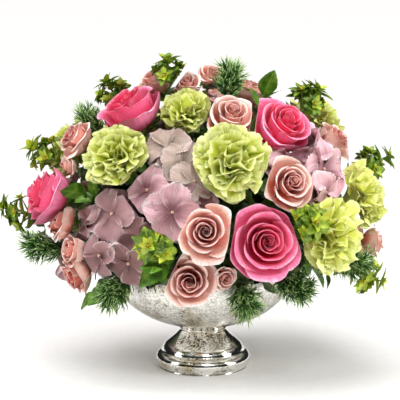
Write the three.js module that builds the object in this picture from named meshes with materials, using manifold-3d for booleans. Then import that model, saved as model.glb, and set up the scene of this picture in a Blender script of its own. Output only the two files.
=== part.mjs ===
// A footed silvered glass bowl filled with a dome of cut flowers, in millimetres, +Z up.
// The origin is the centre of the foot's flat underside. The camera side is -Y, and +X is to its right.
// Every stem is a straight line out of one point, the heart of the foam, so no two stems can cross.
// Each bloom and each tuft of leaves keeps to its own share of the space, as flowers pressed together do.

import * as THREE from "three";
import { mergeVertices } from "three/addons/utils/BufferGeometryUtils.js";
import Module from "manifold-3d";

const wasm = await Module();
wasm.setup();
const { Manifold, Mesh: SolidMesh } = wasm;

// Driving dimensions

const gap = 0.35; // clearance between touching pieces
const footRadius = 48;
const neckRadius = 22;
const neckHeight = 39.8;
const rimRadius = 92;
const rimHeight = 103;
// The belly is part of an ellipse, whose widest ring has this height and is so deep above its lowest point
const outerBelly = { depth: 59, widest: 101 };
const innerBelly = { depth: 54, widest: 100 };
const wall = 3;
const bowlSides = 24;

const heart = new THREE.Vector3(0, 0, 120); // where every stem points
const stemStart = 42; // distance from the heart to a stem's cut end
const stemSides = (radius) => (radius < 1.75 ? 3 : 4);
const stemRadii = { rose: 2.2, carnation: 1.8, spray: 1.7, trunk: 1.8, branch: 1.3, sprig: 1.4, core: 0.9 };
const foamBottom = 55.9;
const crownRadius = 101; // the mossy crown that swells over the rim
const crownTop = 212;
const foamSides = 12;

const seed = 20;

// Stem directions are in degrees. Azimuth 0 faces the camera side, 90 faces +X, and elevation is above level.
// Reach is the distance from the heart to the middle of the bloom, and size is the bloom's width.
// Face is the way the bloom looks, where it isn't straight along its stem.

const roses = [
  { name: "rose_front", az: 25, el: 13, reach: 141, face: [12, 12], size: 69 },
  { name: "rose_upper_right", az: 58, el: 55, reach: 160, face: [38, 42], size: 68 },
  { name: "rose_upper_left", az: -70, el: 62, reach: 164, face: [-72, 58], size: 70 },
  { name: "rose_left", az: -78, el: 21, reach: 170, face: [-80, 22], size: 64 },
  { name: "rose_back", az: 174, el: 9, reach: 146, size: 72 },
  { name: "rose_back_right", az: 138, el: 50, reach: 158, size: 72 },
  { name: "rose_back_left", az: -136, el: 24, reach: 156, size: 72 },
];

const sprays = [
  {
    name: "spray_rose_front",
    blooms: [
      { az: 1, el: 18, reach: 138, face: [-2, 14], size: 51 },
      { az: -6, el: -3, reach: 121, face: [-4, 4], size: 47 },
      { az: 10, el: -2, reach: 116, face: [24, -8], size: 24 },
    ],
  },
  { name: "spray_rose_right", blooms: [{ az: 40, el: 33, reach: 152, face: [24, 22], size: 50 }] },
  { name: "spray_rose_crown", blooms: [{ az: 29, el: 68, reach: 152, face: [16, 50], size: 52 }] },
  {
    name: "spray_rose_upper_left",
    blooms: [
      { az: -81, el: 42, reach: 172, face: [-70, 36], size: 42 },
      { az: -76, el: 33, reach: 162, face: [-60, 0], size: 24 },
    ],
  },
  {
    name: "spray_rose_lower_left",
    blooms: [
      { az: -72, el: 14, reach: 152, face: [-84, 24], size: 40 },
      { az: -61, el: 5, reach: 143, face: [-64, 10], size: 36 },
      { az: -63, el: -5, reach: 140, face: [-70, -24], size: 43 },
    ],
  },
  {
    name: "spray_rose_top",
    blooms: [
      { az: -101, el: 74, reach: 174, face: [-60, 60], size: 38 },
      { az: -50, el: 83, reach: 168, face: [-10, 50], size: 30 },
      { az: 150, el: 84, reach: 174, face: [30, 60], size: 30 },
    ],
  },
  { name: "spray_rose_far_top", blooms: [{ az: 128, el: 69, reach: 166, size: 42 }] },
  { name: "spray_rose_far_right", blooms: [{ az: 90, el: 40, reach: 172, face: [70, 32], size: 42 }] },
  {
    name: "spray_rose_low_right",
    blooms: [
      { az: 83, el: 4, reach: 170, face: [86, 0], size: 32 },
      { az: 98, el: 0, reach: 158, size: 40 },
    ],
  },
  {
    name: "spray_rose_back",
    blooms: [
      { az: -164, el: 1, reach: 142, size: 50 },
      { az: -143, el: -1, reach: 142, size: 44 },
    ],
  },
  {
    name: "spray_rose_back_top",
    blooms: [
      { az: 170, el: 58, reach: 162, size: 50 },
      { az: -137, el: 51, reach: 160, size: 50 },
    ],
  },
];

const carnations = [
  { name: "carnation_left", az: -47, el: 43, reach: 154, face: [-34, 30], size: 66 },
  { name: "carnation_middle", az: 14, el: 45, reach: 146, face: [8, 34], size: 76 },
  { name: "carnation_top", az: -24, el: 74, reach: 148, face: [-14, 62], size: 56 },
  { name: "carnation_right", az: 53, el: 12, reach: 156, face: [44, 8], size: 74 },
  { name: "carnation_far_right", az: 78, el: 21, reach: 168, face: [84, 20], size: 66 },
  { name: "carnation_upper_right", az: 104, el: 48, reach: 174, size: 56 },
  { name: "carnation_back_right", az: 141, el: 11, reach: 152, size: 76 },
  { name: "carnation_back", az: 165, el: 36, reach: 152, size: 78 },
  { name: "carnation_back_left", az: -106, el: 36, reach: 164, size: 72 },
  { name: "carnation_back_middle", az: -161, el: 37, reach: 152, size: 80 },
];

// Florets of a hydrangea head are laid like blooms, each on its own stalk from the fork of the stem.

const hydrangeas = [
  {
    name: "hydrangea_left",
    blooms: [
      { az: -46, el: 23, reach: 132, face: [-34, 16], size: 58 },
      { az: -48, el: 5, reach: 134, face: [-44, -8], size: 42 },
      { az: -35, el: 3, reach: 124, face: [-26, -12], size: 44 },
      { az: -31, el: 15, reach: 122, face: [-20, 6], size: 42 },
      { az: -60, el: 18, reach: 134, face: [-66, 16], size: 40 },
    ],
  },
  {
    name: "hydrangea_middle",
    blooms: [
      { az: -31, el: 36, reach: 128, face: [-30, 20], size: 50 },
      { az: -15, el: 27, reach: 126, face: [-8, 12], size: 54 },
      { az: -5, el: 42, reach: 126, face: [4, 26], size: 48 },
      { az: -28, el: 57, reach: 134, face: [-20, 40], size: 46 },
      { az: -14, el: 51, reach: 128, face: [-4, 36], size: 46 },
      { az: -2, el: 33, reach: 118, face: [6, 10], size: 42 },
    ],
  },
  {
    name: "hydrangea_right",
    blooms: [
      { az: 54, el: 44, reach: 146, face: [44, 34], size: 46 },
      { az: 66, el: 35, reach: 156, face: [54, 24], size: 54 },
      { az: 76, el: 44, reach: 160, face: [72, 36], size: 46 },
      { az: 59, el: 25, reach: 152, face: [50, 12], size: 44 },
    ],
  },
  { name: "hydrangea_top", blooms: floretsRound({ az: -168, el: 74, reach: 152, size: 42 }) },
  { name: "hydrangea_back_left", blooms: floretsRound({ az: -106, el: 10, reach: 150, size: 50 }) },
  { name: "hydrangea_back_right", blooms: floretsRound({ az: 110, el: 18, reach: 152, size: 46 }) },
];

function rimPoint(r, angle, z) {
  return new THREE.Vector3(r * Math.cos(angle), r * Math.sin(angle), z);
}

// A middle floret with four more round it, all looking outward.
function floretsRound({ az, el, reach, size }) {
  const frame = frameAt(heart, direction([az, el]));
  const ring = [0, 1, 2, 3].map((k) => {
    const lean = size / reach;
    const turn = (Math.PI / 2) * k + 0.5;
    const out = rimPoint(Math.sin(lean), turn, Math.cos(lean));
    const { x, y, z } = out.applyMatrix4(frame).sub(heart);
    const [turned, lifted] = [Math.atan2(x, -y), Math.asin(z)].map(THREE.MathUtils.radToDeg);
    return { az: turned, el: lifted, reach: reach - 8, size };
  });
  return [{ az, el, reach, size }, ...ring];
}

// A sprig is bare from the heart to its first leaves, at from, and leafy to its tip, at to.
// Face is the way its leafy end turns, where it isn't straight.

const needleSprigs = [
  { name: "needles_left", az: -75, el: 4, from: 136, to: 186 },
  { name: "needles_upper_left", az: -90, el: 49, from: 140, to: 190 },
  { name: "needles_top", az: 78, el: 81, from: 150, to: 192 },
  { name: "needles_low_left", az: -42, el: -8, from: 104, to: 146, face: [-52, -24] },
  { name: "needles_low_front", az: 19, el: -8, from: 104, to: 140, face: [22, -42] },
  { name: "needles_low_right", az: 42, el: -5, from: 106, to: 156, face: [46, -16] },
  { name: "needles_far_right", az: 66, el: 1, from: 132, to: 180, face: [68, -4] },
  { name: "needles_back", az: 157, el: -7, from: 104, to: 146, face: [155, -30] },
  { name: "needles_back_left", az: -129, el: -7, from: 106, to: 156, face: [-130, -20] },
];

const greenSprigs = [
  { name: "greens_front", az: -20, el: 12, from: 120, to: 150 },
  { name: "greens_right", az: 38, el: 17, from: 148, to: 176 },
  { name: "greens_upper_left", az: -86, el: 32, from: 166, to: 198 },
  { name: "greens_left", az: -85, el: 13, from: 170, to: 203 },
  { name: "greens_top_left", az: -98, el: 60, from: 162, to: 192 },
  { name: "greens_top", az: -72, el: 79, from: 164, to: 194 },
  { name: "greens_upper_right", az: 90, el: 55, from: 166, to: 196 },
  { name: "greens_far_right", az: 91, el: 27, from: 170, to: 206 },
  { name: "greens_low_right", az: 71, el: -4, from: 150, to: 184, face: [74, -16] },
  { name: "greens_back", az: -178, el: 27, from: 138, to: 172 },
];

const leafSprigs = [
  { name: "leaves_top", az: 86, el: 69, from: 142, to: 168, width: 27 },
  { name: "leaves_front", az: -19, el: 3, from: 116, to: 134, width: 30 },
  { name: "leaves_left", az: -64, el: 27, from: 124, to: 146, width: 28 },
  { name: "leaves_low_left", az: -54, el: -8, from: 104, to: 132, width: 30, face: [-50, -30] },
  { name: "leaves_back", az: 120, el: -7, from: 104, to: 130, width: 32, face: [120, -30] },
];

// Small tools

function seeded(start) {
  let state = start;
  return () => {
    state = (Math.imul(state ^ (state >>> 15), 1 | state) + 0x6d2b79f5) | 0;
    const mixed = Math.imul(state ^ (state >>> 14), 61 | state);
    return ((mixed ^ (mixed >>> 13)) >>> 0) / 4294967296;
  };
}

const random = seeded(seed);
const between = (low, high) => low + (high - low) * random();

function direction([az, el]) {
  const a = THREE.MathUtils.degToRad(az);
  const e = THREE.MathUtils.degToRad(el);
  return new THREE.Vector3(Math.sin(a) * Math.cos(e), -Math.cos(a) * Math.cos(e), Math.sin(e));
}

const placed = ([az, el, reach]) => heart.clone().addScaledVector(direction([az, el]), reach);

// A frame whose Z axis lies along axis, at point.
function frameAt(point, axis, roll = 0) {
  const turn = new THREE.Quaternion().setFromUnitVectors(new THREE.Vector3(0, 0, 1), axis);
  turn.multiply(new THREE.Quaternion().setFromAxisAngle(new THREE.Vector3(0, 0, 1), roll));
  return new THREE.Matrix4().compose(point, turn, new THREE.Vector3(1, 1, 1));
}

function solidOf(geometry) {
  const bare = geometry.clone();
  bare.deleteAttribute("normal");
  bare.deleteAttribute("uv");
  const merged = mergeVertices(bare, 1e-4);
  const made = new Manifold(
    new SolidMesh({
      numProp: 3,
      vertProperties: new Float32Array(merged.attributes.position.array),
      triVerts: new Uint32Array(merged.index.array),
    }),
  );
  return made;
}

function geometryOf(solid) {
  const { numProp, numVert, vertProperties, triVerts } = solid.getMesh();
  const points = new Float32Array(numVert * 3);
  for (let i = 0; i < numVert; i++) {
    points.set(vertProperties.subarray(i * numProp, i * numProp + 3), i * 3);
  }
  const geometry = new THREE.BufferGeometry();
  geometry.setAttribute("position", new THREE.BufferAttribute(points, 3));
  geometry.setIndex(new THREE.BufferAttribute(triVerts, 1));
  geometry.computeVertexNormals();
  return geometry;
}

const union = (solids) => Manifold.union(solids);

// Keeps the main body of a solid and drops loose scraps.
function mainBody(solid) {
  const bodies = solid.decompose();
  return bodies.reduce((best, body) => (body.volume() > best.volume() ? body : best));
}

// A closed thin blade: at(u, v) is its middle surface, u from -1 to 1 across and v from 0 to 1 along.
function blade(at, across, along, thick) {
  const points = [];
  const index = [];
  const step = 1e-3;
  const corner = (side, i, j) => side * (across + 1) * (along + 1) + j * (across + 1) + i;
  for (const side of [1, -1]) {
    for (let j = 0; j <= along; j++) {
      for (let i = 0; i <= across; i++) {
        const u = (2 * i) / across - 1;
        const v = j / along;
        const sideways = at(u + step, v).sub(at(u - step, v));
        const forward = at(u, Math.min(1, v + step)).sub(at(u, Math.max(0, v - step)));
        const normal = sideways.cross(forward).normalize();
        points.push(...at(u, v).addScaledVector(normal, (side * thick) / 2));
      }
    }
  }
  const quad = (a, b, c, d) => index.push(a, b, c, a, c, d);
  for (let j = 0; j < along; j++) {
    for (let i = 0; i < across; i++) {
      const [a, b] = [corner(0, i, j), corner(0, i + 1, j)];
      const [c, d] = [corner(0, i + 1, j + 1), corner(0, i, j + 1)];
      const under = (across + 1) * (along + 1);
      quad(a, b, c, d);
      index.push(a + under, c + under, b + under, a + under, d + under, c + under);
    }
  }
  for (let i = 0; i < across; i++) {
    quad(corner(1, i, 0), corner(1, i + 1, 0), corner(0, i + 1, 0), corner(0, i, 0));
    quad(corner(0, i, along), corner(0, i + 1, along), corner(1, i + 1, along), corner(1, i, along));
  }
  for (let j = 0; j < along; j++) {
    quad(corner(0, 0, j), corner(0, 0, j + 1), corner(1, 0, j + 1), corner(1, 0, j));
    quad(corner(1, across, j), corner(1, across, j + 1), corner(0, across, j + 1), corner(0, across, j));
  }
  const geometry = new THREE.BufferGeometry();
  geometry.setAttribute("position", new THREE.Float32BufferAttribute(points, 3));
  geometry.setIndex(index);
  return geometry;
}

// A turned solid about Z: profile is a list of [radius, height] that starts and ends on the axis.
function turned(profile, sides) {
  const points = profile.map(([r, z]) => new THREE.Vector2(r, z));
  return new THREE.LatheGeometry(points, sides).rotateX(Math.PI / 2);
}

// A straight tapered rod from a to b, or a pointed one where endRadius is 0.
function rod(a, b, startRadius, endRadius, sides) {
  const frame = frameAt(a, b.clone().sub(a).normalize());
  const length = a.distanceTo(b);
  const ring = (radius, z) =>
    Array.from({ length: sides }, (_, i) => {
      const angle = (2 * Math.PI * i) / sides;
      return new THREE.Vector3(radius * Math.cos(angle), radius * Math.sin(angle), z);
    });
  const end = endRadius > 0 ? ring(endRadius, length) : [new THREE.Vector3(0, 0, length)];
  const points = [...ring(startRadius, 0), ...end].flatMap((p) => p.applyMatrix4(frame).toArray());
  const index = [];
  for (let i = 0; i < sides; i++) {
    const next = (i + 1) % sides;
    if (endRadius > 0) index.push(i, next, sides + next, i, sides + next, sides + i);
    else index.push(i, next, sides);
    if (i < 2) continue;
    index.push(0, i, i - 1);
    if (endRadius > 0) index.push(sides, sides + i - 1, sides + i);
  }
  const geometry = new THREE.BufferGeometry();
  geometry.setAttribute("position", new THREE.Float32BufferAttribute(points, 3));
  geometry.setIndex(index);
  return geometry;
}

// The glass bowl, in one blown piece with its foot

const bellyRadius = (z, width, { depth, widest }) => width * Math.sqrt(1 - ((widest - z) / depth) ** 2);

function bowlOuter() {
  const foot = [
    [footRadius - 4, 0],
    [footRadius - 0.8, 5],
    [footRadius, 10],
    [footRadius - 4.5, 17],
    [38.5, 23.5],
    [31.5, 29.5],
    [25.5, 35],
    [neckRadius, neckHeight - 1.6],
    [neckRadius + 1.3, neckHeight],
    [neckRadius, neckHeight + 1.6],
    [29.5, 45],
  ];
  const belly = [49, 56, 65, 76, 89, rimHeight].map((z) => [bellyRadius(z, rimRadius, outerBelly), z]);
  return [...foot, ...belly];
}

function bowlInner() {
  const heights = [rimHeight, 85, 70, 58, 49];
  return heights.map((z) => [bellyRadius(z, rimRadius - wall, innerBelly), z]);
}

function makeBowl() {
  return solidOf(turned([[0, 0], ...bowlOuter(), ...bowlInner(), [0, 46.5]], bowlSides));
}

// Wet foam, cut to the bowl, with a crown of moss that swells over its rim

const plug = [
  [48.6, foamBottom],
  [70, 76],
  [79, rimHeight - 1],
];
const crown = [
  [crownRadius - 4, rimHeight + 1.5],
  [crownRadius, 122],
  [crownRadius - 6, 150],
  [75, 182],
  [38, 206],
];

// A length of stem, grown by the gap and by extra at both ends, to be taken out of what it passes through.
function stemHole({ start, end, radius }, extra) {
  const more = end.clone().sub(start).setLength(extra);
  const [from, to] = [start.clone().sub(more), end.clone().add(more)];
  return solidOf(rod(from, to, radius + gap, radius + gap, stemSides(radius)));
}

function makeFoam() {
  const inside = stems.filter(({ start }) => start.distanceTo(heart) < stemStart + 1);
  const under = [79, rimHeight + 0.6];
  const block = solidOf(turned([[0, foamBottom], ...plug, under, ...crown, [0, crownTop]], foamSides));
  return mainBody(block.subtract(union(inside.map((stem) => stemHole(stem, 1)))));
}

// Flowers, each in its own frame: Z out of the bloom, origin in the middle of the bloom.
// Their sizes are for a bloom 68 mm wide and are scaled from there.

const bloomWidth = 68;

// A closed skin through rings of points, from the pole at low to the pole at high.
function shell(rings, low, high) {
  const columns = rings[0].length;
  const points = [low, high, ...rings.flat()].flatMap((p) => p.toArray());
  const index = [];
  const at = (ring, column) => 2 + ring * columns + (column % columns);
  const last = rings.length - 1;
  for (let j = 0; j < columns; j++) {
    index.push(0, at(0, j + 1), at(0, j), 1, at(last, j), at(last, j + 1));
    for (let i = 0; i < last; i++) {
      const [a, b, c, d] = [at(i, j), at(i, j + 1), at(i + 1, j + 1), at(i + 1, j)];
      index.push(a, b, c, a, c, d);
    }
  }
  const geometry = new THREE.BufferGeometry();
  geometry.setAttribute("position", new THREE.Float32BufferAttribute(points, 3));
  geometry.setIndex(index);
  return geometry;
}

// One ring of a whorl: count petals with a raised middle, each edge tucked under its neighbour's.
function whorlRing({ r, z, count = 0, tuck = 0, drop = 0, shift = 0 }, columns, s) {
  return Array.from({ length: columns }, (_, j) => {
    const per = count ? columns / count : 1;
    const petal = Math.floor((j + shift) / per);
    const middle = (per - 1) / 2;
    const across = count ? ((j + shift) % per) / middle - 1 : 0;
    const stretched = middle + across * (middle + 0.36) - shift;
    const angle = ((2 * Math.PI) / columns) * (count ? per * petal + stretched : j);
    const radius = (r + tuck * across) * s;
    const height = (z - drop * across ** 2) * s;
    return new THREE.Vector3(radius * Math.cos(angle), radius * Math.sin(angle), height);
  });
}

function whorlBloom(size, columns, rings, low, high) {
  const s = size / bloomWidth;
  const pole = (z) => new THREE.Vector3(0, 0, z * s);
  return solidOf(shell(rings.map((ring) => whorlRing(ring, columns, s)), pole(low), pole(high)));
}

// Up the outside of each whorl to its lip and down the inside into the fold before the next.
const roseRings = [
  { r: 25, z: -13, count: 5, tuck: 0.5, drop: 1 },
  { r: 33, z: -1, count: 5, tuck: 1.5, drop: 3 },
  { r: 33.5, z: 9, count: 5, tuck: 1.6, drop: 6 },
  { r: 20, z: -7 },
  { r: 25.5, z: 6, count: 5, tuck: 1.2, drop: 2, shift: 1 },
  { r: 23.5, z: 16, count: 5, tuck: 1.4, drop: 5, shift: 1 },
  { r: 12.5, z: 2 },
  { r: 15.5, z: 12, count: 3, tuck: 1, drop: 1, shift: 1 },
  { r: 13.5, z: 21, count: 3, tuck: 1.4, drop: 4, shift: 1 },
  { r: 5, z: 9 },
];
const makeRose = (size) => whorlBloom(size, 15, roseRings, -24, 21);

const sprayRings = [
  { r: 27, z: -10, count: 4, tuck: 1, drop: 1 },
  { r: 33, z: 7, count: 4, tuck: 2.2, drop: 6 },
  { r: 19, z: -7 },
  { r: 21, z: 19, count: 4, tuck: 2, drop: 5, shift: 1 },
  { r: 9, z: 5 },
];
const makeSprayRose = (size) => whorlBloom(size, 12, sprayRings, -24, 21);

const budRings = [
  { r: 28, z: -8, count: 3, tuck: 2, drop: 0 },
  { r: 29, z: 17, count: 3, tuck: 3.4, drop: 8 },
  { r: 13, z: 2 },
];
const makeBud = (size) => whorlBloom(size, 9, budRings, -27, 24);
const makeSmallRose = (size) => (size < 40 ? makeBud(size) : makeSprayRose(size));

// A carnation: stacked frilled skirts above a calyx. Each lip is pleated up and down, in steps of frill.
const carnationRings = [
  { r: 8, z: -23 },
  { r: 22, z: -12 },
  { r: 34, z: -2, frill: 2.6 },
  { r: 21, z: 1 },
  { r: 29, z: 10, frill: 2.8 },
  { r: 14, z: 9 },
  { r: 20, z: 19, frill: 2.8 },
  { r: 7, z: 11 },
];

function makeCarnation(size) {
  const s = size / bloomWidth;
  const columns = 12;
  const rings = carnationRings.map(({ r, z, frill = 0 }, i) =>
    Array.from({ length: columns }, (_, j) => {
      const pleat = (j + (i % 4 === 0)) % 2 ? frill : -frill;
      const angle = (2 * Math.PI * j) / columns;
      const radius = (r + 0.8 * pleat) * s;
      return new THREE.Vector3(radius * Math.cos(angle), radius * Math.sin(angle), (z + pleat) * s);
    }),
  );
  return solidOf(shell(rings, new THREE.Vector3(0, 0, -35 * s), new THREE.Vector3(0, 0, 22 * s)));
}

// A plate with a pointed or lobed rim on a three-sided stalk: rim(k) is its outline and root the stalk's foot
// It is thick in the middle, by thick above the stalk's end, and thins out to its rim.
function stalkedPlate(rim, count, root, neckHeight, thick) {
  const outline = Array.from({ length: count }, (_, k) => rim(k));
  const neck = root.map(({ x, y }) => new THREE.Vector3(x, y, neckHeight));
  const middle = new THREE.Vector3(0, 0, neckHeight + thick);
  const faces = [[root[0], root[2], root[1]]];
  const nearest = (k) => Math.floor((3 * (k + 0.5)) / count) % 3;
  for (let k = 0; k < count; k++) {
    const next = (k + 1) % count;
    faces.push([middle, outline[k], outline[next]], [neck[nearest(k)], outline[next], outline[k]]);
    if (nearest(k) !== nearest(next)) faces.push([neck[nearest(k)], neck[nearest(next)], outline[next]]);
  }
  for (let i = 0; i < 3; i++) {
    const next = (i + 1) % 3;
    faces.push([root[i], root[next], neck[next]], [root[i], neck[next], neck[i]]);
  }
  return faces;
}

function geometryFrom(faces) {
  const geometry = new THREE.BufferGeometry();
  const points = faces.flat().flatMap((p) => p.toArray());
  return geometry.setAttribute("position", new THREE.Float32BufferAttribute(points, 3));
}

// One hydrangea floret: a cupped plate that thins out to its rim.
// The rim has four broad sepals, each with two shoulders, parted by notches.
function makeFloret(size) {
  const rim = Array.from({ length: 12 }, (_, k) => {
    const shoulder = k % 3;
    const angle = (Math.PI / 2) * Math.floor(k / 3) + [0, 0.38, 1.19][shoulder];
    return rimPoint(0.5 * size * [0.42, 1, 1][shoulder], angle, shoulder ? 1.5 : -1.5);
  });
  const [top, under] = [-1.9, -4.8].map((z) => new THREE.Vector3(0, 0, z));
  const faces = rim.flatMap((point, k) => {
    const next = rim[(k + 1) % 12];
    return [[top, point, next], [under, next, point]];
  });
  return solidOf(geometryFrom(faces));
}

// An evergreen sprig: a slim four-sided core whose facets are drawn out into needles by turns.
function makeNeedles({ from, to }, hasRoom) {
  const rows = Math.round((to - from) / 5);
  const ringAt = (i) => {
    const [radius, height] = [2.2 - (0.5 * i) / rows, from + ((to - from) * i) / rows];
    return [0, 1, 2, 3].map((k) => rimPoint(radius, (Math.PI / 2) * k + 0.4 * i, height));
  };
  const rings = Array.from({ length: rows + 1 }, (_, i) => ringAt(i));
  const faces = [[rings[0][0], rings[0][2], rings[0][1]], [rings[0][0], rings[0][3], rings[0][2]]];
  for (let i = 0; i < rows; i++) {
    for (let k = 0; k < 4; k++) {
      const next = (k + 1) % 4;
      const corners = [rings[i][k], rings[i][next], rings[i + 1][next], rings[i + 1][k]];
      const middle = corners[0].clone().add(corners[2]).divideScalar(2);
      const angle = Math.atan2(middle.y, middle.x) + between(-0.3, 0.3);
      const length = between(13, 17);
      const tip = rimPoint(0.78 * length, angle, middle.z + 0.62 * length);
      if ((i + k) % 2 || !hasRoom(tip, 0)) {
        faces.push([corners[0], corners[1], corners[2]], [corners[0], corners[2], corners[3]]);
        continue;
      }
      for (let c = 0; c < 4; c++) faces.push([corners[c], corners[(c + 1) % 4], tip]);
    }
  }
  const end = rings[rows];
  const point = new THREE.Vector3(0, 0, to + 9);
  for (let k = 0; k < 4; k++) faces.push([end[k], end[(k + 1) % 4], point]);
  return solidOf(geometryFrom(faces));
}

// Small umbels on thin rays: each is a star of five pointed bracts.
function makeUmbels({ from, to }, hasRoom) {
  const solids = [];
  const rays = [
    { root: to - 8, length: 8, lean: 0, turn: 0 },
    { root: from, length: 24, lean: 0.6, turn: 0.6 },
    { root: from + 6, length: 20, lean: 0.7, turn: 3.4 },
  ];
  for (const { root, length, lean, turn } of rays) {
    const out = rimPoint(Math.sin(lean), turn, Math.cos(lean));
    const start = new THREE.Vector3(0, 0, root);
    if (lean && !hasRoom(start.clone().addScaledVector(out, length), 4)) continue;
    const foot = [0, 1, 2].map((k) => rimPoint(1.2, (2 * Math.PI * k) / 3, 0));
    const bracts = (k) => rimPoint(k % 2 ? 5 : 12, (Math.PI * k) / 5, length + (k % 2 ? 0 : 2.5));
    const umbel = geometryFrom(stalkedPlate(bracts, 10, foot, length - 1.5, 2.2));
    solids.push(solidOf(umbel.applyMatrix4(frameAt(start, out))));
  }
  return union(solids);
}

// Broad pointed leaves round the end of a stem.
function makeLeaves({ from, to, width }, hasRoom) {
  const solids = [];
  const core = rod(new THREE.Vector3(0, 0, from - 2), new THREE.Vector3(0, 0, to), 1.6, 1.3, 4);
  for (let i = 0; i < 2; i++) {
    const lean = [0.35, 0.9][i];
    const length = 1.2 * width;
    const out = rimPoint(Math.sin(lean), 2.3 * i + 0.4, Math.cos(lean));
    const start = new THREE.Vector3(0, 0, [to - 1, from + 4][i]);
    if (i && !hasRoom(start.clone().addScaledVector(out, 0.6 * length), 3)) continue;
    const surface = (u, v) => {
      const half = 0.36 * width * Math.sin(Math.PI * (0.03 + 0.9 * v)) * (1.15 - 0.6 * v ** 2);
      const bow = 0.12 * width * Math.sin(Math.PI * v) * (u * u - 0.6);
      return new THREE.Vector3(u * half, bow, length * v - 1);
    };
    solids.push(solidOf(blade(surface, 2, 3, 1.2).applyMatrix4(frameAt(start, out, 1.1 * i))));
  }
  return union([solidOf(core), ...solids]);
}

// Sharing the room out

const stems = []; // straight lengths of stem: their piece, both ends, and how thick they are
const places = []; // blooms and tufts: their piece, their middle, the room each takes and its furthest reach

function addStem(piece, start, end, radius) {
  stems.push({ piece, start, end, radius });
  return stems.at(-1);
}

function addPlace(piece, middle, room, reach) {
  places.push({ piece, middle, room, reach });
  return places.at(-1);
}

const power = (place) => place.middle.lengthSq() - place.room ** 2;

// The planes that part a place from those of other pieces: each a unit normal and its distance
function planesRound(place) {
  return places
    .filter((other) => other.piece !== place.piece)
    .map((other) => ({ other, toOther: other.middle.clone().sub(place.middle) }))
    .filter(({ other, toOther }) => toOther.length() < other.reach + place.reach)
    .map(({ other, toOther }) => ({
      offset: (power(other) - power(place)) / (2 * toOther.length()) - gap / 2,
      normal: toOther.normalize(),
    }));
}

function clipTo(place, solid) {
  const trimmed = (kept, { normal, offset }) => kept.trimByPlane(normal.clone().negate().toArray(), -offset);
  return planesRound(place).reduce((kept, plane) => (kept.isEmpty() ? kept : trimmed(kept, plane)), solid);
}

// Whether a point of a place's own frame has margin to spare inside its room and above the bowl.
function roomTest(place, frame) {
  const planes = planesRound(place);
  return (point, margin) => {
    const world = point.clone().applyMatrix4(frame);
    const above = world.z > rimHeight + 2 + margin || Math.hypot(world.x, world.y) > rimRadius + 2 + margin;
    return above && planes.every(({ normal, offset }) => world.dot(normal) < offset - margin);
  };
}

// Opens holes where the stems of other pieces pass through a place.
function clearOfStems({ piece, middle, reach }, solid) {
  const near = new THREE.Vector3();
  const passing = stems.filter((stem) => {
    new THREE.Line3(stem.start, stem.end).closestPointToPoint(middle, true, near);
    return stem.piece !== piece && near.distanceTo(middle) < reach + stem.radius;
  });
  return passing.length ? solid.subtract(union(passing.map((stem) => stemHole(stem, 0.5)))) : solid;
}

// The bowl and the foam, filled in and grown by the gap.
function keepOut() {
  const grow = gap / Math.cos(Math.PI / bowlSides);
  const bowl = bowlOuter().map(([r, z]) => [r + grow, z]);
  const moss = crown.map(([r, z]) => [r + 2 * gap, z + gap]);
  const profile = [[0, -grow], ...bowl, [moss[0][0], rimHeight + 0.2], ...moss, [0, crownTop + gap]];
  return solidOf(turned(profile, bowlSides));
}

// Laying out: every piece takes its places and its stems before anything is shaped

const finish = (color, roughness, metalness = 0) =>
  new THREE.MeshStandardMaterial({ color, roughness, metalness, flatShading: true });

const materials = {
  glass: finish(0xc9c7be, 0.15, 0.9),
  foam: finish(0x3f5f37, 0.95),
  rose: finish(0xe0527f, 0.6),
  sprayRose: finish(0xeab4a0, 0.6),
  carnation: finish(0xc9d56b, 0.7),
  hydrangea: finish(0xdcb9c4, 0.65),
  needles: finish(0x3f5a34, 0.6),
  greens: finish(0x8fa02c, 0.6),
  leaf: finish(0x3e6120, 0.45),
};

const pieces = []; // each with its name, its material, its stems and its tufts or blooms

const inFoam = (toward) => heart.clone().addScaledVector(toward, stemStart);

// A bloom's place and frame, with foot where its stem ends inside it.
function layBloom(name, bloom, depth, make) {
  const middle = placed([bloom.az, bloom.el, bloom.reach]);
  const axis = direction(bloom.face ?? [bloom.az, bloom.el]);
  const frame = frameAt(middle, axis, between(0, 2 * Math.PI));
  const place = addPlace(name, middle, 0.47 * bloom.size, 0.6 * bloom.size);
  const foot = middle.clone().addScaledVector(axis, -depth);
  return { place, frame, foot, make: () => make(bloom.size) };
}

// One bloom on one stem.
function layFlower(bloom, depth, stemRadius, make, material) {
  const laid = layBloom(bloom.name, bloom, depth, make);
  const toward = laid.foot.clone().sub(heart).normalize();
  const stem = addStem(bloom.name, inFoam(toward), laid.foot, stemRadius);
  pieces.push({ name: bloom.name, material, stems: [stem], tufts: [laid] });
}

// Several blooms on one stem that forks below them.
function laySpray({ name, blooms }, depth, make, material) {
  const tufts = blooms.map((bloom) => layBloom(name, bloom, depth(bloom.size), make));
  if (tufts.length === 1) {
    const toward = tufts[0].foot.clone().sub(heart).normalize();
    const stem = addStem(name, inFoam(toward), tufts[0].foot, stemRadii.spray);
    pieces.push({ name, material, stems: [stem], tufts });
    return;
  }
  const mean = tufts.reduce((sum, { foot }) => sum.add(foot), new THREE.Vector3()).divideScalar(tufts.length);
  const toward = mean.clone().sub(heart);
  const fork = heart.clone().add(toward.setLength(Math.max(0.72 * toward.length(), crownRadius + 3)));
  toward.normalize();
  const trunk = addStem(name, inFoam(toward), fork.clone().addScaledVector(toward, 2), stemRadii.trunk);
  const branches = tufts.map(({ foot }) => addStem(name, fork, foot, stemRadii.branch));
  pieces.push({ name, material, stems: [trunk, ...branches], tufts });
}

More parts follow.
